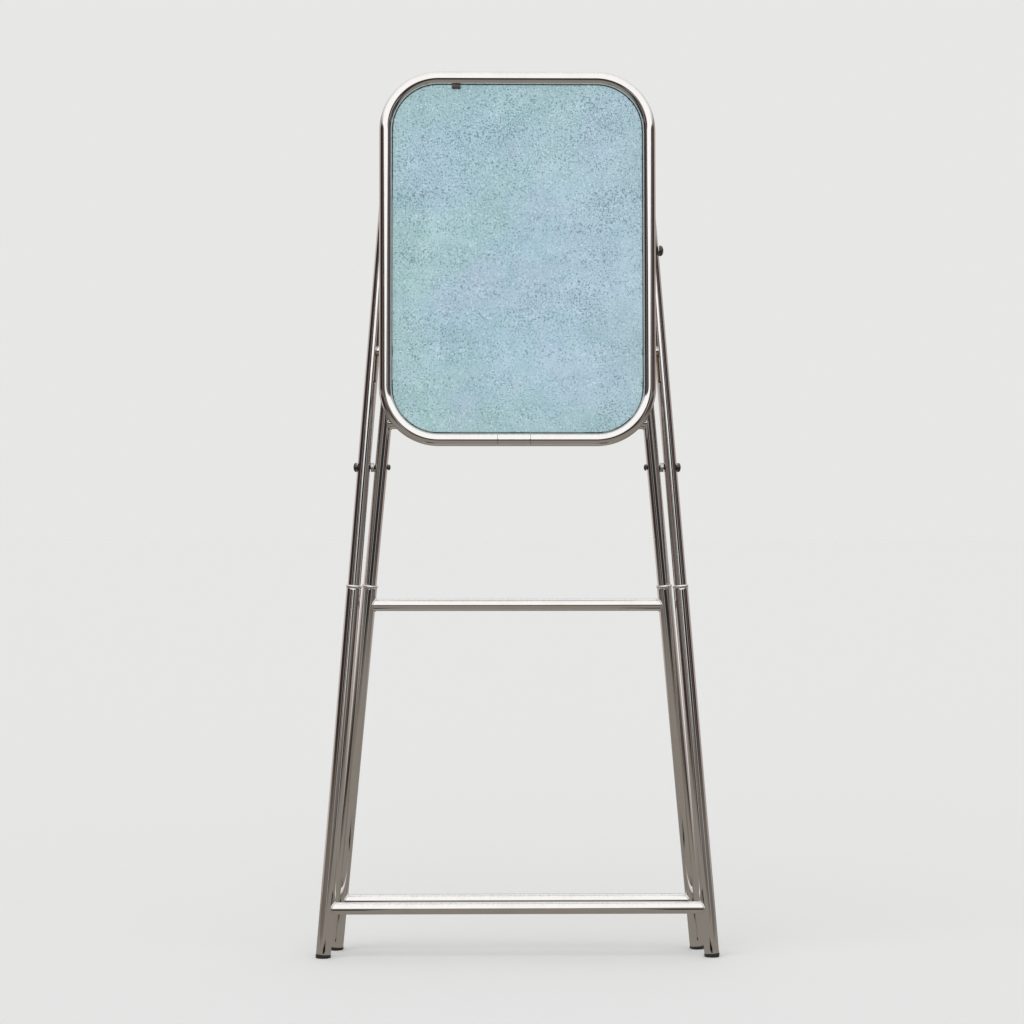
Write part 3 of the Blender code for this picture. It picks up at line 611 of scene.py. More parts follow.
def rounded(outline, radius, steps=4):
    """An outline whose corners are rounded off, each by no more than a third of its shorter side."""
    smooth = []
    count = len(outline)
    closed = outline[0][0] > 0
    for k, (r, h) in enumerate(outline):
        if not closed and k in (0, count - 1):
            smooth.append((r, h))
            continue
        here = Vector((r, h))
        back = Vector(outline[k - 1]) - here
        on = Vector(outline[(k + 1) % count]) - here
        cut = min(radius, back.length / 3, on.length / 3)
        start = here + back.normalized() * cut
        end = here + on.normalized() * cut
        for s in range(steps + 1):
            t = s / steps
            spot = start * (1 - t) ** 2 + here * (2 * t * (1 - t)) + end * t**2
            smooth.append((max(spot.x, 0.0), spot.y))
    return smooth


def finished(name, source, finishes, body, *nodes, sharp=35):
    """Makes a piece of a bmesh or a mesh, with its finish, its body and the CAD nodes that it stands for."""
    if isinstance(source, bmesh.types.BMesh):
        bmesh.ops.remove_doubles(source, verts=source.verts, dist=1e-7)
        bmesh.ops.recalc_face_normals(source, faces=source.faces)
        mesh = bpy.data.meshes.new(name)
        source.to_mesh(mesh)
        source.free()
    else:
        mesh = source
        mesh.name = name
    if finishes:
        if mesh.materials:
            mesh.materials.clear()
        for finish in finishes if isinstance(finishes, (list, tuple)) else [finishes]:
            mesh.materials.append(finish)
    mesh.shade_smooth()
    mesh.set_sharp_from_angle(angle=math.radians(sharp))
    made = bpy.data.objects.new(name, mesh)
    scene.collection.objects.link(made)
    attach(made, body)
    slot_of[next(filter(None, mesh.materials)).name]
    if nodes:
        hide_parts(*nodes)
    return made


def softened(name, body, finish, width):
    """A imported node's own solid with its hard edges rounded."""
    shape = bmesh.new()
    shape.from_mesh(frame["nodes"][name].data)
    bmesh.ops.remove_doubles(shape, verts=shape.verts, dist=1e-6)
    bmesh.ops.dissolve_limit(shape, angle_limit=math.radians(1), verts=shape.verts, edges=shape.edges)
    hard = [e for e in shape.edges if len(e.link_faces) == 2 and e.calc_face_angle(0) > math.radians(40)]
    bmesh.ops.bevel(shape, geom=hard, offset=width, segments=3, profile=0.5, affect="EDGES", clamp_overlap=True)
    bmesh.ops.triangulate(shape, faces=[f for f in shape.faces if len(f.verts) > 4])
    return finished(f"{name}_worked", shape, finish, body, name)


SIDES = ((-1, "left"), (1, "right"))


def leg_place(half, side, z):
    """A place on a leg's middle line at height z up its frame, with Z up along the leg."""
    low = Vector((side * half(z), 0, z))
    high = Vector((side * half(z + 1), 0, z + 1))
    return toward(high - low, low)


# %% [markdown]
# ## The lower legs and their plugs
# Each lower leg is a thin-walled tube. Its top is swollen into a small lip where the thinner upper tube slides in,
# with a faint rolled line just below; a dark hairline shows between the two tubes. A black plastic
# plug closes the foot. Its underside is cut level, because the legs lean and splay but the floor doesn't. Both are
# lathe work, so both are turned outlines.

# %% Lower legs
LIP_STATIONS = ((0.25, 3.0), (0.75, 2.4), (0.98, 1.9), (0.98, 1.3), (0.7, 0.6), (0.2, 0.15))
leg_span = {}
for place, frame_name, half in ((FRONT, "front", front_half), (REAR, "rear", rear_half)):
    body = f"{frame_name}_frame"
    for side, word in SIDES:
        leg_node = f"{frame_name}_leg_{word}"
        on_axis = leg_place(half, side, 0)
        z_low, z_high = (corner.z for corner in corners(leg_node, place @ on_axis))
        leg_span[frame_name] = (z_low, z_high)
        inner = LEG_R - LEG_WALL
        outline = [(inner, z_low + 0.2 * MM), (inner + 0.2 * MM, z_low), (LEG_R - 0.2 * MM, z_low)]
        outline += [(LEG_R, z_low + 0.2 * MM), (LEG_R, z_high - 4.6 * MM), (LEG_R - 0.12 * MM, z_high - 4.1 * MM)]
        outline += [(LEG_R - 0.12 * MM, z_high - 3.7 * MM), (LEG_R, z_high - 3.2 * MM)]
        outline += [(LEG_R + part * LIP, z_high - drop * MM) for part, drop in LIP_STATIONS]
        outline += [(LEG_R - 0.25 * MM, z_high), (inner + 0.1 * MM, z_high - 0.1 * MM), (inner, z_high - 0.4 * MM)]
        shape = turned(outline, place @ on_axis, LATHE_SIDES)
        finished(f"{leg_node}_tube", shape, chrome, body, leg_node, sharp=50)
    print(frame_name, "legs are", round((z_high - z_low) / MM, 1), "mm long")

# %% Foot plugs
PLUG_FLANGE = 0.4 * MM
PLUG_DEPTH = 14 * MM
SLIP = 0.35 * MM
for place, frame_name, half in ((FRONT, "front", front_half), (REAR, "rear", rear_half)):
    start = leg_span[frame_name][0]
    for side, word in SIDES:
        on_axis = place @ leg_place(half, side, 0)
        plug_node = f"{frame_name}_foot_{word}"
        bottom = corners(plug_node, on_axis)[0].z
        head = start - bottom
        stem = LEG_R - LEG_WALL - SLIP
        outline = [(0, start + PLUG_DEPTH), (stem - 1.05 * MM, start + PLUG_DEPTH)]
        outline += [(stem, start + PLUG_DEPTH - 1.2 * MM), (stem, start - 0.25 * MM)]
        outline += [(LEG_R + 0.2 * MM, start - 0.3 * MM), (LEG_R + PLUG_FLANGE, start - 0.45 * MM)]
        outline += [(LEG_R + PLUG_FLANGE, start - 0.36 * head), (LEG_R + 0.2 * MM, start - 0.46 * head)]
        level = [(LEG_R - 0.1 * MM, 0.45 * MM), (LEG_R - 0.6 * MM, 0.08 * MM), (LEG_R - 1.2 * MM, 0.0), (0, 0.0)]
        shape = turned(outline + [(r, start - head) for r, _ in level], on_axis, LATHE_SIDES)
        down = on_axis.to_3x3() @ Vector((0, 0, -1))
        shape.verts.ensure_lookup_table()
        under = shape.verts[-(LATHE_SIDES * 3 + 1):]
        for number, vert in enumerate(under):
            height = level[min(number // LATHE_SIDES, 3)][1]
            vert.co += down * ((height - vert.co.z) / down.z)
        finished(f"{plug_node}_plug", shape, black, f"{frame_name}_frame", plug_node)
print("foot plugs stand on the floor, level")

# %% [markdown]
# ## Bent tubes grown along a path
# The hoop and the board's ring are each one tube bent on a machine, and their shape follows a rule: straight runs
# joined by arcs of one radius, with one round section all the way. Geometry Nodes say that rule directly. The tree
# takes a bare line through the corners, fillets it, and runs two circles along it for the outside and the bore. The
# two skins are stitched together at the mouths afterwards, so that the tube is one closed wall.

# %% Helpers for Geometry Nodes


def new_tree(name, inputs):
    """A Geometry Nodes tree with a geometry input and output and the named inputs, given as (name, kind, value)."""
    tree = bpy.data.node_groups.new(name, "GeometryNodeTree")
    for way in ("INPUT", "OUTPUT"):
        tree.interface.new_socket("Geometry", in_out=way, socket_type="NodeSocketGeometry")
    for label, kind, value in inputs:
        socket = tree.interface.new_socket(label, in_out="INPUT", socket_type=f"NodeSocket{kind}")
        if value is not None:
            socket.default_value = value
    return tree, node(tree, "NodeGroupInput").outputs


def end_tree(tree, geometry, finish):
    """Every tree ends so: real meshes instead of instances, and the finish."""
    real = node(tree, "GeometryNodeRealizeInstances", {0: geometry}).outputs[0]
    painted = node(tree, "GeometryNodeSetMaterial", {"Geometry": real, "Material": finish}).outputs[0]
    node(tree, "NodeGroupOutput", {0: painted})


def grown(tree, mesh, **values):
    """Runs a tree on a mesh, with its inputs set by identifier, and returns the result as a plain mesh."""
    holder = bpy.data.objects.new("holder", mesh)
    scene.collection.objects.link(holder)
    modifier = holder.modifiers.new("grow", "NODES")
    modifier.node_group = tree
    for item in tree.interface.items_tree:
        key = item.name.replace(" ", "_")
        if item.in_out == "INPUT" and key in values:
            modifier[item.identifier] = values[key]
    holder.update_tag()
    bpy.context.view_layer.update()
    result = bpy.data.meshes.new_from_object(holder.evaluated_get(bpy.context.evaluated_depsgraph_get()))
    holder.modifiers.remove(modifier)
    bpy.data.objects.remove(holder)
    return result


def line_mesh(points, closed=False):
    """A mesh of bare edges through some points."""
    mesh = bpy.data.meshes.new("line")
    edges = [(k, k + 1) for k in range(len(points) - 1)]
    if closed:
        edges.append((len(points) - 1, 0))
    mesh.from_pydata([tuple(p) for p in points], edges, [])
    return mesh


# %% The bent-tube tree
sizes = [("Tube radius", "Float", 7 * MM), ("Wall", "Float", 1 * MM), ("Bend radius", "Float", 60 * MM)]
sizes += [("Bend steps", "Int", 28), ("Sides", "Int", 56), ("Finish", "Material", None)]
bent_tube, given = new_tree("bent_tube", sizes)
centre = node(bent_tube, "GeometryNodeMeshToCurve", {"Mesh": given["Geometry"]}).outputs[0]
fillet = {"Curve": centre, "Count": given["Bend steps"], "Radius": given["Bend radius"]}
centre = node(bent_tube, "GeometryNodeFilletCurve", fillet, mode="POLY").outputs[0]
bore = maths("SUBTRACT", given["Tube radius"], given["Wall"])
skins = node(bent_tube, "GeometryNodeJoinGeometry")
for radius in (given["Tube radius"], bore):
    section = {"Resolution": given["Sides"], "Radius": radius}
    circle = node(bent_tube, "GeometryNodeCurvePrimitiveCircle", section).outputs[0]
    skin = node(bent_tube, "GeometryNodeCurveToMesh", {"Curve": centre, "Profile Curve": circle}).outputs[0]
    bent_tube.links.new(skin, skins.inputs[0])
end_tree(bent_tube, skins.outputs[0], given["Finish"])


def stitched(mesh, ends):
    """Joins a tube's outer and inner skins at each open end."""
    shape = bmesh.new()
    shape.from_mesh(mesh)
    for end in ends:
        rim = [e for e in shape.edges if e.is_boundary and (e.verts[0].co - Vector(end)).length < 12 * MM]
        bmesh.ops.bridge_loops(shape, edges=rim)
    return shape


# %% [markdown]
# ## The hoop
# The front frame's upper tube is a single inverted U. Its legs lie on the same splayed lines as the lower legs and
# plug into them, and its top bend is wide enough to pass round the board. The corners of its path come from the leg
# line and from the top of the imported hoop.

# %% The hoop
HOOP_BEND = 60 * MM
hoop_low, hoop_high = corners("upper_hoop", FRONT)
hoop_top = hoop_high.z - TUBE_R
slope = leg_place(front_half, 1, 0).to_3x3() @ Vector((0, 0, 1))
plug_end = hoop_low.z + TUBE_R * abs(slope.x)
column = [Vector((front_half(z), 0, z)) for z in (plug_end, hoop_top)]
path = [Vector((-point.x, 0, point.z)) for point in column] + column[::-1]
path = [FRONT @ point for point in path]
tube = grown(bent_tube, line_mesh(path), Tube_radius=TUBE_R, Wall=WALL, Bend_radius=HOOP_BEND, Finish=chrome)
finished("hoop_tube", stitched(tube, (path[0], path[-1])), chrome, "front_frame", "upper_hoop", sharp=50)
print("the hoop's top is", round((FRONT @ Vector((0, 0, hoop_top))).z / MM, 1), "mm above the floor")

# %% [markdown]
# ## The rear frame's upper tubes
# These two short tubes plug into the rear legs and stop just above the hinge bar, closed by small black caps. They
# are straight, so a turned outline is enough.

# %% Upper tubes and caps of the rear frame
for side, word in SIDES:
    on_axis = REAR @ leg_place(rear_half, side, 0)
    tube_low, tube_high = (corner.z for corner in corners(f"rear_upper_leg_{word}", on_axis))
    outline = [(TUBE_R - WALL, tube_low), (TUBE_R, tube_low), (TUBE_R, tube_high), (TUBE_R - WALL, tube_high)]
    shape = turned(rounded(outline, 0.25 * MM), on_axis, LATHE_SIDES)
    finished(f"rear_upper_tube_{word}", shape, chrome, "rear_frame", f"rear_upper_leg_{word}", sharp=50)
    cap_low, cap_high = (corner.z for corner in corners(f"rear_leg_cap_{word}", on_axis))
    spigot = TUBE_R - WALL - SLIP
    rim = tube_high + 1.9 * MM
    outline = [(0, cap_low), (spigot, cap_low), (spigot, tube_high + 0.25 * MM), (TUBE_R, tube_high + 0.25 * MM)]
    outline += [(TUBE_R, rim)] + [(TUBE_R * c**0.7, rim + (cap_high - rim) * s) for c, s in quarter(8, 9)]
    outline.append((0, cap_high))
    finished(f"rear_cap_{word}", turned(outline, on_axis, 48), black, "rear_frame", f"rear_leg_cap_{word}")
print("rear tubes stop at", round((on_axis @ Vector((0, 0, tube_high))).z / MM, 1), "mm")

# %% [markdown]
# ## Cross bars with fish-mouthed ends
# A bar that meets a round leg has its ends cut to the leg's curve before it is welded. No cutting tool is needed
# here, because the cut can be worked out: every line along the bar stops where it meets the leg's round wall. The
# same sum gives the path of the weld, which the next step grows.

# %% Cross bars
BAR_SIDES = 64
BITE = 0.05 * MM
weld_paths = {"front_frame": [], "rear_frame": []}


def meeting(half, side, z_bar, y, z, leg_r):
    """X where the line at (y, z) along a bar meets the wall of a leg."""
    axis = leg_place(half, side, z_bar).to_3x3() @ Vector((0, 0, 1))
    out = -side * math.sqrt(max(leg_r**2 - y**2, 0))
    return side * half(z_bar) + (out + (z - z_bar) * axis.x) / axis.z


def bar_ring(half, side, z_bar, radius, leg_r, sides=BAR_SIDES):
    ring = []
    for k in range(sides):
        angle = 2 * math.pi * k / sides
        y, z = radius * math.cos(angle), z_bar + radius * math.sin(angle)
        ring.append(Vector((meeting(half, side, z_bar, y, z, leg_r), y, z)))
    return ring


def cross_bar(bar_node, place, half, body, leg_r):
    low, high = corners(bar_node, place)
    z_bar = (low.z + high.z) / 2
    shape = bmesh.new()
    radii = (BAR_R - WALL, BAR_R)
    rings = [bar_ring(half, -1, z_bar, r, leg_r - BITE) for r in radii]
    rings += [bar_ring(half, 1, z_bar, r, leg_r - BITE) for r in radii[::-1]]
    made = [[shape.verts.new(place @ spot) for spot in ring] for ring in rings]
    for a, b in zip(made, made[1:] + made[:1]):
        for k in range(BAR_SIDES):
            m = (k + 1) % BAR_SIDES
            shape.faces.new((a[k], a[m], b[m], b[k]))
    finished(f"{bar_node}_tube", shape, chrome, body, bar_node, sharp=50)
    for side in (-1, 1):
        weld = bar_ring(half, side, z_bar, BAR_R + 0.1 * MM, leg_r + 0.2 * MM, 96)
        weld_paths[body].append([place @ spot for spot in weld])
    print(bar_node, "lies", round((place @ Vector((0, 0, z_bar))).z / MM, 1), "mm above the floor")


for bar_node, leg_r in (("front_foot_bar", LEG_R), ("lower_rail", TUBE_R), ("upper_rail", TUBE_R)):
    cross_bar(bar_node, FRONT, front_half, "front_frame", leg_r)
for bar_node, leg_r in (("rear_foot_bar", LEG_R), ("middle_bar", LEG_R), ("hinge_bar", TUBE_R)):
    cross_bar(bar_node, REAR, rear_half, "rear_frame", leg_r)

# %% [markdown]
# ## Weld beads
# Each bar end carries a small bead of weld under the chrome, rippled where the puddle was moved on. It repeats along
# a path, which is Geometry Nodes work: the tree resamples the seam at even steps, swells the radius up and down along
# its length, varies it a little with noise, and runs a round section along it.

# %% The weld tree
sizes = [("Bead radius", "Float", 1.1 * MM), ("Ripple", "Float", 1.9 * MM), ("Depth", "Float", 0.09)]
weld_tree, given = new_tree("weld_bead", sizes + [("Seed", "Float", 3.0), ("Finish", "Material", None)])
seam = node(weld_tree, "GeometryNodeMeshToCurve", {"Mesh": given["Geometry"]}).outputs[0]
seam = node(weld_tree, "GeometryNodeResampleCurve", {"Curve": seam, "Length": 0.5 * MM}, mode="LENGTH").outputs[0]
run = node(weld_tree, "GeometryNodeSplineParameter").outputs["Length"]
wave = maths("DIVIDE", times(run, 2 * math.pi), given["Ripple"])
wave = maths("SINE", wave)
noise = {"W": given["Seed"], "Scale": 160.0, "Detail": 1.0}
uneven = node(weld_tree, "ShaderNodeTexNoise", noise, noise_dimensions="4D").outputs[0]
swell = maths("MULTIPLY_ADD", uneven, 0.5, 0.75)
swell = maths("MULTIPLY_ADD", wave, given["Depth"], swell)
section = {"Resolution": 14, "Radius": given["Bead radius"]}
circle = node(weld_tree, "GeometryNodeCurvePrimitiveCircle", section).outputs[0]
along = {"Curve": seam, "Profile Curve": circle, "Scale": swell}
bead = node(weld_tree, "GeometryNodeCurveToMesh", along).outputs[0]
end_tree(weld_tree, bead, given["Finish"])

# %% Weld beads at every bar end
for body, seams in weld_paths.items():
    loops = bpy.data.meshes.new("seams")
    spots = [tuple(spot) for seam in seams for spot in seam]
    edges = []
    for number, seam in enumerate(seams):
        first = number * len(seam)
        edges += [(first + k, first + (k + 1) % len(seam)) for k in range(len(seam))]
    loops.from_pydata(spots, edges, [])
    beads = grown(weld_tree, loops, Bead_radius=0.85 * MM, Finish=chrome)
    finished(f"{body}_welds", beads, None, body, sharp=80)
    print(body, "has", len(seams), "weld beads,", len(beads.polygons), "faces")

# %% [markdown]
# ## The ring round the front board
# One tube is bent into a rounded rectangle, and its two ends meet at the bottom over a joiner: a plug with a collar
# the same size as the tube, so that two hairline seams show. It is the same bent-tube tree as the hoop, with a larger
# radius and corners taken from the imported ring.

# %% The ring and its joiner
RING_BEND = 63 * MM
ring_low, ring_high = corners("board_ring", BOARD)
RING_R = radius_of("board_ring", BOARD)
ring_y = (ring_high.y + ring_low.y) / 2
left, right = ring_low.x + RING_R, ring_high.x - RING_R
bottom, top = ring_low.z + RING_R, ring_high.z - RING_R
joiner_low, joiner_high = corners("ring_joiner", BOARD)
reach = 22 * MM
SEAM = 0.3 * MM
collar_left, collar_right = joiner_low.x + reach, joiner_high.x - reach
path = [(collar_right + SEAM, bottom), (right, bottom), (right, top), (left, top), (left, bottom)]
path = [BOARD @ Vector((x, ring_y, z)) for x, z in path + [(collar_left - SEAM, bottom)]]
tube = grown(bent_tube, line_mesh(path), Tube_radius=RING_R, Wall=WALL, Bend_radius=RING_BEND, Finish=chrome, Sides=64)
finished("ring_tube", stitched(tube, (path[0], path[-1])), chrome, "front_board", "board_ring", sharp=50)

spigot = RING_R - WALL - 0.3 * MM
collar = collar_right - collar_left
outline = [(0, -reach), (spigot, -reach), (spigot, 0), (RING_R, 0), (RING_R, collar)]
outline += [(spigot, collar), (spigot, collar + reach), (0, collar + reach)]
place = BOARD @ toward((1, 0, 0), (collar_left, ring_y, bottom))
shape = turned(rounded(outline, 0.3 * MM), place, LATHE_SIDES)
finished("joiner", shape, chrome, "front_board", "ring_joiner", sharp=50)
print("the ring is", round((ring_high.x - ring_low.x) / MM, 1), "by", round((ring_high.z - ring_low.z) / MM, 1), "mm")

# %% [markdown]
# ## The two boards
# The front board is a thin fibre sheet with the speckled face, let into the ring. The rear board is thicker, made of
# sealed fibre board with rounded corners, and stays on the rails. Both are rounded rectangles whose edges are eased
# with sandpaper, so each is a stack of outlines: the same rounded rectangle, drawn in by a fraction of a millimetre
# at every step of the rounded edge. Colour is chosen face by face: the front gets the speckled sheet.

# %% Boards


def rectangle(low, high, radius, inset, steps=20):
    """(x, z) points of a rounded rectangle that is drawn in by inset."""
    points = []
    r = radius - inset
    for x, z, start in ((high.x, low.z, -90), (high.x, high.z, 0), (low.x, high.z, 90), (low.x, low.z, 180)):
        cx = x - math.copysign(radius, x)
        cz = z + radius if z == low.z else z - radius
        for k in range(steps + 1):
            angle = math.radians(start + 90 * k / steps)
            points.append((cx + r * math.cos(angle), cz + r * math.sin(angle)))
    return points


def eased_board(low, high, radius, place, ease, steps=5):
    """A rounded rectangular board between two corners of its box, with quarter-round edges."""
    shape = bmesh.new()
    bend = [(1.0, 0.0)] + quarter(steps)
    stack = [(ease * (1 - s), low.y + ease * (1 - c)) for c, s in bend]
    stack += [(ease * (1 - c), high.y - ease * (1 - s)) for c, s in bend]
    rings = []
    for inset, y in stack:
        rings.append([shape.verts.new(place @ Vector((x, y, z))) for x, z in rectangle(low, high, radius, inset)])
    for a, b in zip(rings, rings[1:]):
        for k in range(len(a)):
            m = (k + 1) % len(a)
            shape.faces.new((a[k], a[m], b[m], b[k]))
    shape.faces.new(rings[0])
    shape.faces.new(rings[-1])
    return shape


PANEL_CORNER = RING_BEND - RING_R - 0.3 * MM
EASE = 0.8 * MM
shape = eased_board(panel_low, panel_high, PANEL_CORNER, BOARD, EASE)
for face in shape.faces:
    depth = (BOARD.inverted() @ face.calc_center_median()).y
    face.material_index = 0 if depth < panel_low.y + 0.5 * EASE else 1
finished("speckled_panel", shape, [speckled, fibre], "front_board", "board_panel", sharp=60)

BOARD_CORNER = 50 * MM
board_low, board_high = corners("rear_board", FRONT)
shape = eased_board(board_low, board_high, BOARD_CORNER, FRONT, 1.6 * MM)
finished("rear_pressing_board", shape, fibre, "front_frame", "rear_board", sharp=60)
print("boards:", [round(c / MM, 1) for c in board_high - board_low], "mm at the back")

# %% [markdown]
# ## Clips, saddles, straps and the catch plates
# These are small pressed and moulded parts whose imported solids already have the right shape. What they lack is the
# way a real edge looks, so each gets its edges rounded: a little for sheet steel, more for moulded plastic.

# %% Pressed and moulded parts
for edge in ("top", "bottom", "left", "right"):
    softened(f"panel_clip_{edge}", "front_board", zinc, 0.25 * MM)
# The front clip takes the dark steel finish as painted shade: it stands for the dark shadow line between the ring and
# the speckled panel.
softened("panel_clip_front", "front_board", dark_steel, 0.25 * MM)
for _, word in SIDES:
    softened(f"hinge_strap_{word}", "front_board", zinc, 0.25 * MM)
    softened(f"hinge_saddle_{word}", "front_board", black, 0.6 * MM)
softened("catch_keeper", "front_board", zinc, 0.3 * MM)
softened("catch_hook", "catch", zinc, 0.3 * MM)

# %% [markdown]
# ## The catch's knob
# A small domed knob, dark and glossy, sits on the right tube of the hoop and turns the hook behind the board. It is
# turned from an outline with a narrow foot, a rounded skirt and a full crown; its spindle shows where it is riveted
# over the hook.

# %% Knob and spindle
outward = CATCH @ toward((1, 0, 0))
knob_low, knob_high = corners("catch_knob", outward)
KNOB_R = (knob_high.x - knob_low.x) / 2
socket = 2.8 * MM
pocket = knob_low.z + 2.6 * MM
skirt = [(0.86, 0.0), (0.93, 0.12), (0.985, 0.5), (1.0, 1.0), (1.0, 1.6), (0.985, 1.9)]
rim = knob_low.z + skirt[-1][1] * MM
outline = [(0, pocket), (socket, pocket), (socket, knob_low.z)]
outline += [(part * KNOB_R, knob_low.z + rise * MM) for part, rise in skirt]
outline += [(0.985 * KNOB_R * c, rim + (knob_high.z - rim) * s) for c, s in quarter(14)]
finished("knob", turned(outline, outward, LATHE_SIDES), knob_finish, "catch", "catch_knob")

pin_low, pin_high = corners("catch_spindle", outward)
SHAFT = (pin_high.x - pin_low.x) / 2
hook_low, hook_high = (corner.z for corner in corners("catch_hook", outward))
neck = 1.5 * MM
outline = [(0, pin_low.z), (2.0 * MM, pin_low.z), (2.4 * MM, pin_low.z + 0.4 * MM), (2.4 * MM, hook_low - 0.1 * MM)]
outline += [(neck, hook_low - 0.1 * MM), (neck, hook_high + 0.1 * MM), (SHAFT, hook_high + 0.1 * MM)]
outline += [(SHAFT, pin_high.z), (0, pin_high.z)]
finished("spindle", turned(rounded(outline, 0.2 * MM), outward, 40), zinc, "catch", "catch_spindle")
print("the knob is", round(2 * KNOB_R / MM, 1), "mm across and", round((knob_high.z - knob_low.z) / MM, 1), "mm tall")

# %% [markdown]
# ## Screws, bolts, nuts, spacers and buffers
# The same few small parts are used again and again. Each is made once as a pattern, with its head facing Z, and a
# Geometry Nodes tree sets copies of it on points. Every point carries the direction that its copy faces, and a
# random turn with a fixed seed, since no two screws stop at the same angle.

# %% Patterns
PATTERN_SIDES = 72
THREAD = 0.8 * MM


def domed(radius, tall, stem, steps):
    """Outline of a domed head above a short straight skirt, from its rim to the top of its crown."""
    points = [(radius - 0.15 * MM, 0.0), (radius, 0.15 * MM), (radius, stem)]
    return points + [(radius * c, stem + (tall - stem) * s) for c, s in quarter(steps)]


def cross_slot(shape, reach, width, depth, from_height):
    """Presses a cross-shaped recess into a head."""
    for vert in shape.verts:
        if vert.co.z < from_height:
            continue
        x, y = abs(vert.co.x), abs(vert.co.y)
        for along, aside in ((x, y), (y, x)):
            inside = min((reach - along) / (0.25 * reach), (width - aside) / (0.3 * width))
            if inside > 0:
                vert.co.z = min(vert.co.z, from_height + (1 - min(inside, 1)) * depth)
    return shape


def pattern(name, shape):
    bmesh.ops.remove_doubles(shape, verts=shape.verts, dist=1e-7)
    bmesh.ops.recalc_face_normals(shape, faces=shape.faces)
    mesh = bpy.data.meshes.new(name)
    shape.to_mesh(mesh)
    shape.free()
    made = bpy.data.objects.new(name, mesh)
    scene.collection.objects.link(made)
    return made


def screw_pattern(name, head_r, tall, length, shank_r):
    """A cross-head screw with a threaded shank below the head's seat at height 0."""
    outline = [(0, -length), (0.4 * shank_r, -length + 0.2 * MM)]
    for k in range(int((length - 1.2 * MM) / THREAD)):
        z = -length + 1.0 * MM + k * THREAD
        outline += [(0.82 * shank_r, z), (shank_r, z + 0.3 * MM), (shank_r, z + 0.4 * MM)]
    outline += [(shank_r, -0.1 * MM), (shank_r, 0)]
    crown = domed(head_r, tall, 0.3 * tall, 26)
    shape = turned(outline + crown, Matrix(), PATTERN_SIDES)
    return pattern(name, cross_slot(shape, 0.62 * head_r, 0.16 * head_r, 0.5 * tall, 0.45 * tall))


# %% The fastener tree
sizes = [("Pattern", "Object", None), ("Size", "Float", 1.0), ("Seed", "Int", 5), ("Finish", "Material", None)]
fastener_tree, given = new_tree("fasteners", sizes)


def step(kind, feeds, output=0, **settings):
    """One node of the fastener tree and one of its outputs."""
    return node(fastener_tree, kind, feeds, **settings).outputs[output]


shape = step("GeometryNodeObjectInfo", {"Object": given["Pattern"], "As Instance": True}, "Geometry")
facing = step("GeometryNodeInputNamedAttribute", {"Name": "facing"}, data_type="FLOAT_VECTOR")
stand = step("FunctionNodeAlignRotationToVector", {"Vector": facing}, axis="Z")
random_turn = step("FunctionNodeRandomValue", {2: 0.0, 3: math.pi, "Seed": given["Seed"]}, 1, data_type="FLOAT")
spin = step("FunctionNodeAxisAngleToRotation", {"Axis": (0, 0, 1), "Angle": random_turn})
turn = step("FunctionNodeRotateRotation", {0: stand, 1: spin}, rotation_space="LOCAL")
spots = {"Points": given["Geometry"], "Instance": shape, "Rotation": turn, "Scale": given["Size"]}
copies = step("GeometryNodeInstanceOnPoints", spots)
end_tree(fastener_tree, copies, given["Finish"])


def fasten(name, made_of, seats, body, finish, nodes, seed=5):
    """Copies of a pattern at (spot, facing) seats as one mesh that rides on a body."""
    dots = bpy.data.meshes.new("seats")
    dots.from_pydata([tuple(spot) for spot, _ in seats], [], [])
    facing = dots.attributes.new("facing", "FLOAT_VECTOR", "POINT")
    for number, (_, way) in enumerate(seats):
        facing.data[number].vector = way
    mesh = grown(fastener_tree, dots, Pattern=made_of, Finish=finish, Seed=seed)
    finished(name, mesh, None, body, *nodes, sharp=40)
    print(name, "-", len(seats), "copies,", len(mesh.polygons), "faces")


def seat_of(name, place, head_tall):
    """Where a fastener's head sits: on its axis, its head's height back from its top along the place's Z."""
    low, high = corners(name, place)
    middle = (low + high) / 2
    return place @ Vector((middle.x, middle.y, high.z - head_tall))


# %% Screws of both boards
facing_back = toward((0, 1, 0))
patterns = []
BOARD_SCREWS = [f"board_screw_{k}" for k in (1, 2, 3, 4)]
HINGE_SCREWS = {row: [f"hinge_screw_{row}_{word}" for _, word in SIDES] for row in ("upper", "lower")}
for group, frame_place, body, names, head_r, tall in (
    ("board_screws", FRONT, "front_frame", BOARD_SCREWS, 3.4 * MM, 2.4 * MM),
    ("upper_hinge_screws", BOARD, "front_board", HINGE_SCREWS["upper"], 3.0 * MM, 2.0 * MM),
    ("lower_hinge_screws", BOARD, "front_board", HINGE_SCREWS["lower"], 3.0 * MM, 2.0 * MM),
):
    place = frame_place @ facing_back
    low, high = corners(names[0], place)
    patterns.append(screw_pattern(f"pattern_{group}", head_r, tall, high.z - low.z - tall, 2.0 * MM))
    way = place.to_3x3() @ Vector((0, 0, 1))
    seats = [(seat_of(name, place, tall), way) for name in names]
    fasten(group, patterns[-1], seats, body, zinc, names)

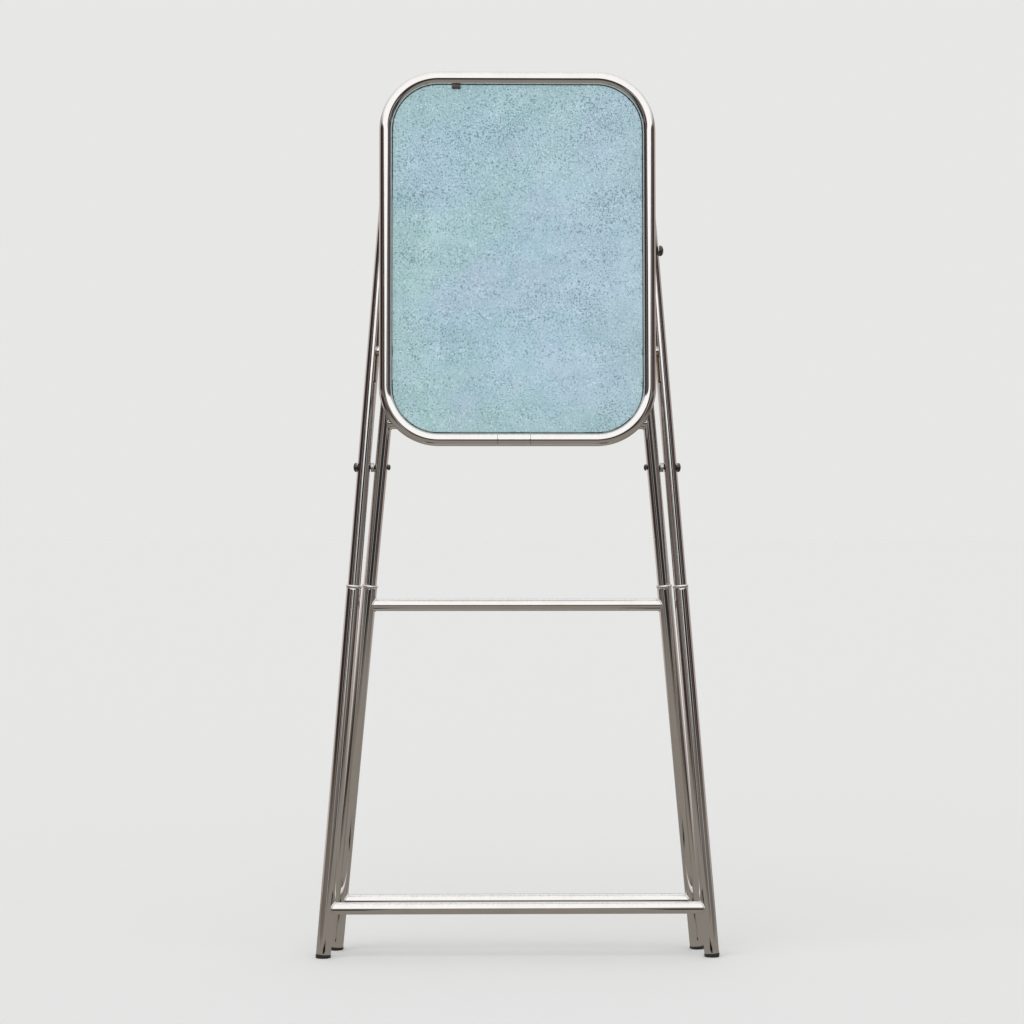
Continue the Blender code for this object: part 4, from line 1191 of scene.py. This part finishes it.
# %% Pivot bolts, spacers, nuts and the buffers
PIVOT_SETS = {"pivot_bolt": (dark_steel, 4.0 * MM), "pivot_spacer": (zinc, None), "pivot_nut": (dark_steel, None)}
SPACER_HOLE = 2.8 * MM
for kind, (finish, head_tall) in PIVOT_SETS.items():
    inward = kind == "pivot_nut"
    seats = []
    for side, word in SIDES:
        way = Vector((-side if inward else side, 0, 0))
        place = FRONT @ toward(way)
        low, high = corners(f"{kind}_{word}", place)
        spot = place @ Vector((0, 0, low.z if head_tall is None else high.z - head_tall))
        seats.append((spot, FRONT.to_3x3() @ way))
    radius = (high.x - low.x) / 2
    length = high.z - low.z
    if kind == "pivot_bolt":
        shank = 2.5 * MM
        tip = head_tall - length
        outline = [(0, tip), (shank - 0.3 * MM, tip), (shank, tip + 0.4 * MM), (shank, 0)]
        outline += domed(radius, head_tall, 1.3 * MM, 12)
    elif kind == "pivot_spacer":
        outline = [(SPACER_HOLE, 0), (radius, 0), (radius, length), (SPACER_HOLE, length)]
        outline = rounded(outline, 0.4 * MM)
    else:
        flats = 0.55 * length
        outline = [(0, 0.6 * length), (SPACER_HOLE, 0.6 * length), (SPACER_HOLE, 0), (radius - 0.3 * MM, 0, 1)]
        outline += [(radius, 0.25 * MM, 1), (radius, flats - 0.3 * MM, 1), (radius - 0.35 * MM, flats, 1)]
        outline += [((radius - 0.7 * MM) * c, flats + (length - flats) * s) for c, s in quarter(8)]
    patterns.append(pattern(f"pattern_{kind}", turned(outline, Matrix(), PATTERN_SIDES)))
    names = [f"{kind}_{word}" for _, word in SIDES]
    fasten(f"{kind}s", patterns[-1], seats, "front_frame", finish, names, seed=9)

place = FRONT @ toward((0, -1, 0))
low, high = corners("board_buffer_left", place)
buffer_tall = high.z - low.z
outline = [(0, 0)] + domed((high.x - low.x) / 2, buffer_tall, 4.8 * MM, 10)
patterns.append(pattern("pattern_buffer", turned(outline, Matrix(), 48)))
names = [f"board_buffer_{word}" for _, word in SIDES]
way = place.to_3x3() @ Vector((0, 0, 1))
seats = [(seat_of(name, place, buffer_tall), way) for name in names]
fasten("board_buffers", patterns[-1], seats, "front_frame", rubber, names)
for spare in patterns:
    bpy.data.objects.remove(spare)

# %% [markdown]
# ## The size of the whole
# The pieces were all drawn from the imported model's nodes, and this measures the box round every piece that is shown.

# %% Size and finish
low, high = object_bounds()
